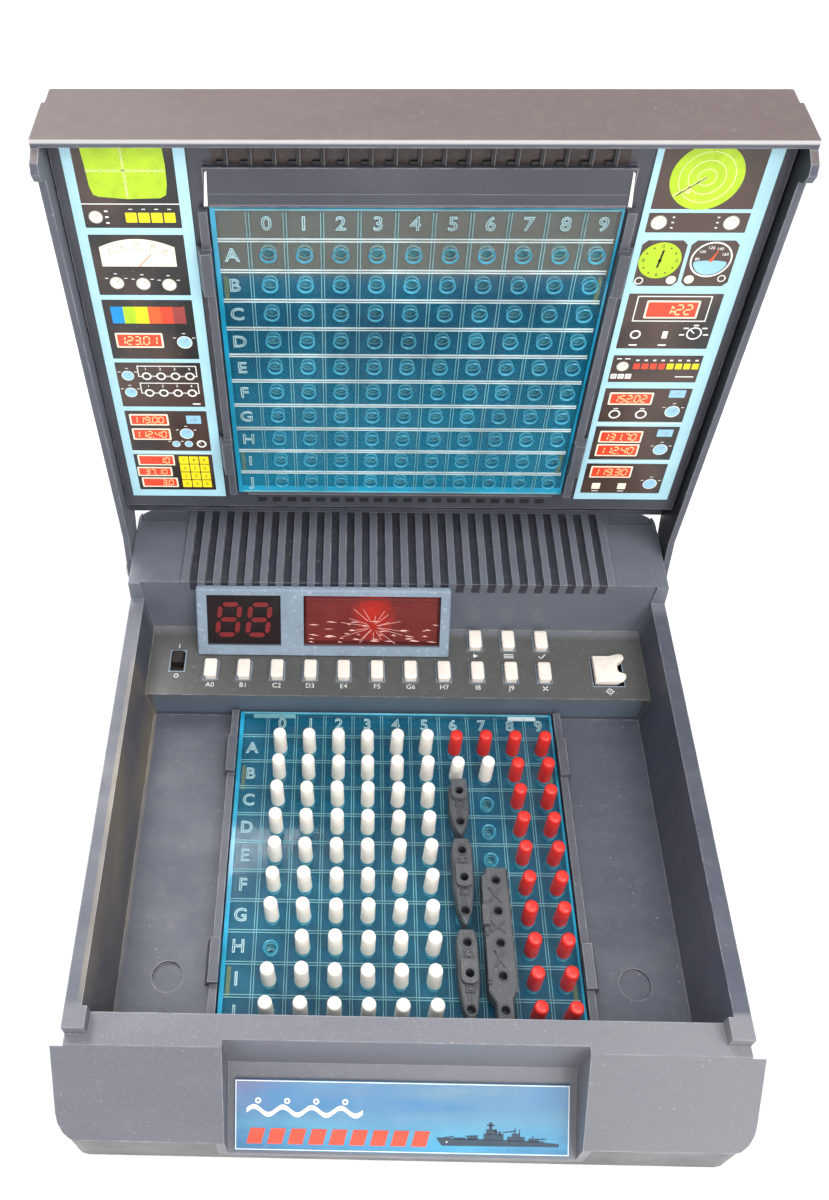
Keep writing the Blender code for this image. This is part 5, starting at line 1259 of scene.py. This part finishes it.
def key_tops():
    """A shallow crown with softened edges on each small key, and ribs on the sliding switch."""
    for name in KEYS:
        if name == "key_enter":
            continue
        low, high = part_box(name)
        u0, u1 = low.x / MM, high.x / MM
        v0, v1 = low.y / MM, high.y / MM
        top = high.z / MM
        mid_u, mid_v = (u0 + u1) / 2, (v0 + v1) / 2
        mesh = bmesh.new()
        lines = []
        shape = [(2.3, 3.9, -0.02), (2.05, 3.65, 0.16), (1.5, 3.1, 0.26), (0.7, 2.2, 0.3)]
        for half_u, half_v, rise in shape:
            corner = min(0.7, half_u * 0.5)
            points = rounded_rect(mid_u - half_u, mid_v - half_v, mid_u + half_u, mid_v + half_v, corner)
            lines.append([mesh.verts.new((u, v, top + rise)) for u, v in points])
        skin(mesh, lines)
        mesh.faces.new(lines[-1])
        mesh.faces.new(lines[0][::-1])
        finished(f"{name}_crown", mesh, Matrix.Identity(4), "key", f"{name}_body", smooth=35)
    low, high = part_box("power_switch")
    flange = 2.0
    left, right, front = low.x / MM + flange + 0.3, high.x / MM - flange - 0.3, low.y / MM + flange + 0.25
    mesh = bmesh.new()
    for k in range(5):
        v = front + 1.0 * k
        box(mesh, (left, v, high.z / MM - 0.1), (right, v + 0.55, high.z / MM + 0.35), taper=0.12)
    finished("power_switch_ribs", mesh, Matrix.Identity(4), "switch", "power_switch")


key_tops()


# ---------------------------------------------------------------- ships

DECK_OF_SHIP = 39.7


def ship_detail(name, x, rows):
    """Turrets, rails and guns between a ship's holes."""
    mesh = bmesh.new()
    spots = [BASE_BOARD_AT[1] + hole_at(0, row)[1] for row in rows]
    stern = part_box(name)[1].y / MM
    z = DECK_OF_SHIP
    for y in spots:
        collar = [(1.75, z - 0.1), (2.15, z - 0.1), (2.1, z + 0.45), (1.8, z + 0.45)]
        hoop(mesh, collar, Matrix.Translation((x, y, 0)))
    for first, second in zip(spots, spots[1:]):
        middle = (first + second) / 2
        box(mesh, (x - 1.5, middle - 0.4, z - 0.1), (x + 1.5, middle + 1.5, z + 0.7), taper=0.3)
        box(mesh, (x - 0.8, middle + 0.1, z + 0.5), (x + 0.8, middle + 1.2, z + 1.35), taper=0.2)
        for side in (-0.55, 0.55):
            box(mesh, (x + side - 0.18, middle - 2.7, z + 0.15), (x + side + 0.18, middle - 0.3, z + 0.5))
            rail = x + side * 4.2
            box(mesh, (rail - 0.25, middle - 1.5, z - 0.1), (rail + 0.25, middle + 1.6, z + 0.35))
        stud = [(0, z - 0.05), (0.5, z - 0.05), (0.5, z + 0.5), (0.3, z + 0.75), (0, z + 0.8)]
        for side in (-1.1, 1.1):
            lathe(mesh, stud, Matrix.Translation((x + side, middle + 2.4, 0)), 10)
    for side in (-1, 1):
        block = x + side * 1.2
        box(mesh, (block - 0.35, stern - 1.7, z - 0.1), (block + 0.35, stern - 0.5, z + 0.35))
    finished(f"{name}_fittings", mesh, Matrix.Identity(4), "ship", name, smooth=30)


def carrier_detail():
    mesh = bmesh.new()
    low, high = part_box("carrier")
    z = DECK_OF_SHIP
    spots = [BASE_BOARD_AT[1] + hole_at(0, row)[1] for row in range(5, 10)]
    hole_x = hole_at(7, 0)[0]
    for y in spots:
        hoop(mesh, [(1.75, z - 0.1), (2.0, z - 0.1), (1.95, z + 0.22), (1.8, z + 0.22)],
             Matrix.Translation((hole_x, y, 0)))
    turns = (38, 52, 30)
    for (first, second), turn in zip(zip(spots, spots[1:]), turns):
        middle = (first + second) / 2
        for side in (-1, 1):
            spin = Matrix.Translation((hole_x - 0.6, middle, 0))
            spin = spin @ Matrix.Rotation(math.radians(side * turn), 4, "Z")
            box(mesh, (-0.38, -3.1, z - 0.05), (0.38, 3.1, z + 0.55), spin, taper=0.15)
        spin = Matrix.Translation((hole_x - 0.6, middle + 0.2, 0))
        spin = spin @ Matrix.Rotation(math.radians(turn), 4, "Z")
        box(mesh, (-0.2, 2.1, z + 0.4), (0.2, 3.0, z + 1.3), spin, taper=0.05)
        lathe(mesh, [(0, z), (0.55, z), (0.5, z + 0.75), (0, z + 0.8)],
              Matrix.Translation((hole_x - 0.6, middle, 0)), 10)
    left = low.x / MM
    for y, long in ((spots[1] + 2.0, 3.4), (spots[2] + 3.4, 2.4), (spots[3] - 1.4, 3.0)):
        box(mesh, (left + 0.3, y - long / 2, z - 0.1), (left + 1.7, y + long / 2, z + 0.9), taper=0.2)
        box(mesh, (left + 0.6, y - long / 4, z + 0.8), (left + 1.4, y + long / 4, z + 1.6), taper=0.15)
    lathe(mesh, [(0, z), (1.0, z), (1.0, z + 0.8), (0.6, z + 1.1), (0, z + 1.1)],
          Matrix.Translation((left + 1.4, spots[1] - 3.6, 0)), 14)
    right = high.x / MM
    for k in range(8):
        y = spots[0] + 1.5 - 5.4 * k
        box(mesh, (right - 0.9, y - 1.1, z - 0.1), (right - 0.4, y + 1.1, z + 0.25))
    for k in range(5):
        y = spots[0] - 5.4 - PITCH * k + 2.0
        box(mesh, (hole_x + 1.8, y - 1.9, z - 0.02), (hole_x + 2.0, y + 1.9, z + 0.12))
    finished("carrier_fittings", mesh, Matrix.Identity(4), "ship", "carrier", smooth=30)


COLUMN_6 = hole_at(6, 0)[0]
ship_detail("patrol_boat", COLUMN_6, (2, 3))
ship_detail("submarine", COLUMN_6, (4, 5, 6))
ship_detail("cruiser", COLUMN_6, (7, 8, 9))
carrier_detail()


# ---------------------------------------------------------------- camera, floor and light


def add_camera():
    level = math.cos(CAMERA_PITCH)
    ahead = Vector((math.sin(CAMERA_YAW) * level, math.cos(CAMERA_YAW) * level, -math.sin(CAMERA_PITCH)))
    across = Vector((math.cos(CAMERA_YAW), -math.sin(CAMERA_YAW), 0))
    up = across.cross(ahead)
    right = math.cos(CAMERA_ROLL) * across + math.sin(CAMERA_ROLL) * up
    top = -math.sin(CAMERA_ROLL) * across + math.cos(CAMERA_ROLL) * up
    data = bpy.data.cameras.new("camera")
    data.lens = CAMERA_LENS
    data.sensor_width = 36
    data.shift_x, data.shift_y = CAMERA_SHIFT
    data.clip_start, data.clip_end = 0.01, 20
    camera = bpy.data.objects.new("camera", data)
    bpy.context.scene.collection.objects.link(camera)
    turn = Matrix((right, top, -ahead)).transposed().to_4x4()
    camera.matrix_world = Matrix.Translation(CAMERA_AT * MM) @ turn
    bpy.context.scene.camera = camera


def add_light(name, at, toward, size, power, colour=(1, 1, 1)):
    data = bpy.data.lights.new(name, "AREA")
    data.shape = "RECTANGLE"
    data.size, data.size_y = size
    data.energy = power
    data.color = colour
    light = bpy.data.objects.new(name, data)
    bpy.context.scene.collection.objects.link(light)
    light.location = at
    light.rotation_mode = "QUATERNION"
    light.rotation_quaternion = (Vector(toward) - Vector(at)).to_track_quat("-Z", "Y")


def add_floor():
    mesh = bmesh.new()
    bmesh.ops.create_grid(mesh, x_segments=8, y_segments=8, size=3.0)
    data = bpy.data.meshes.new("floor")
    mesh.to_mesh(data)
    mesh.free()
    look = Look("floor_paper")
    patches = look.spread(look.noise(3, 4), 0.3, 0.7)
    tone = look.blend(patches, linear((238, 238, 238)), linear((244, 244, 243)))
    look.bump(look.noise(300, 3), 0.05, 0.1)
    data.materials.append(look.finish(tone, 0.9))
    floor = bpy.data.objects.new("floor", data)
    floor.location = (0, 0, -0.0003)
    bpy.context.scene.collection.objects.link(floor)


add_camera()
add_floor()
add_light("key_light", (0.55, -0.6, 1.2), (0, 0, 0.05), (0.8, 0.7), 15, (1.0, 0.985, 0.96))
add_light("sheen_light", (-0.5, 0.8, 1.35), (-0.05, 0, 0.05), (0.7, 0.7), 15)
add_light("top_light", (0.0, -0.1, 1.5), (0, 0, 0.1), (0.8, 0.5), 7)
add_light("front_light", (0.15, -1.35, 0.8), (0, 0.09, 0.13), (0.9, 0.6), 6.5)
add_light("fill_light", (-0.9, -0.5, 0.7), (0, 0, 0.08), (0.8, 0.8), 2.5, (0.95, 0.98, 1.0))
world = bpy.data.worlds.new("studio")
world.use_nodes = True
world.node_tree.nodes["Background"].inputs["Color"].default_value = (1, 1, 1, 1)
world.node_tree.nodes["Background"].inputs["Strength"].default_value = 0.5
bpy.context.scene.world = world
bpy.context.scene.view_settings.view_transform = "Standard"

bpy.context.view_layer.update()
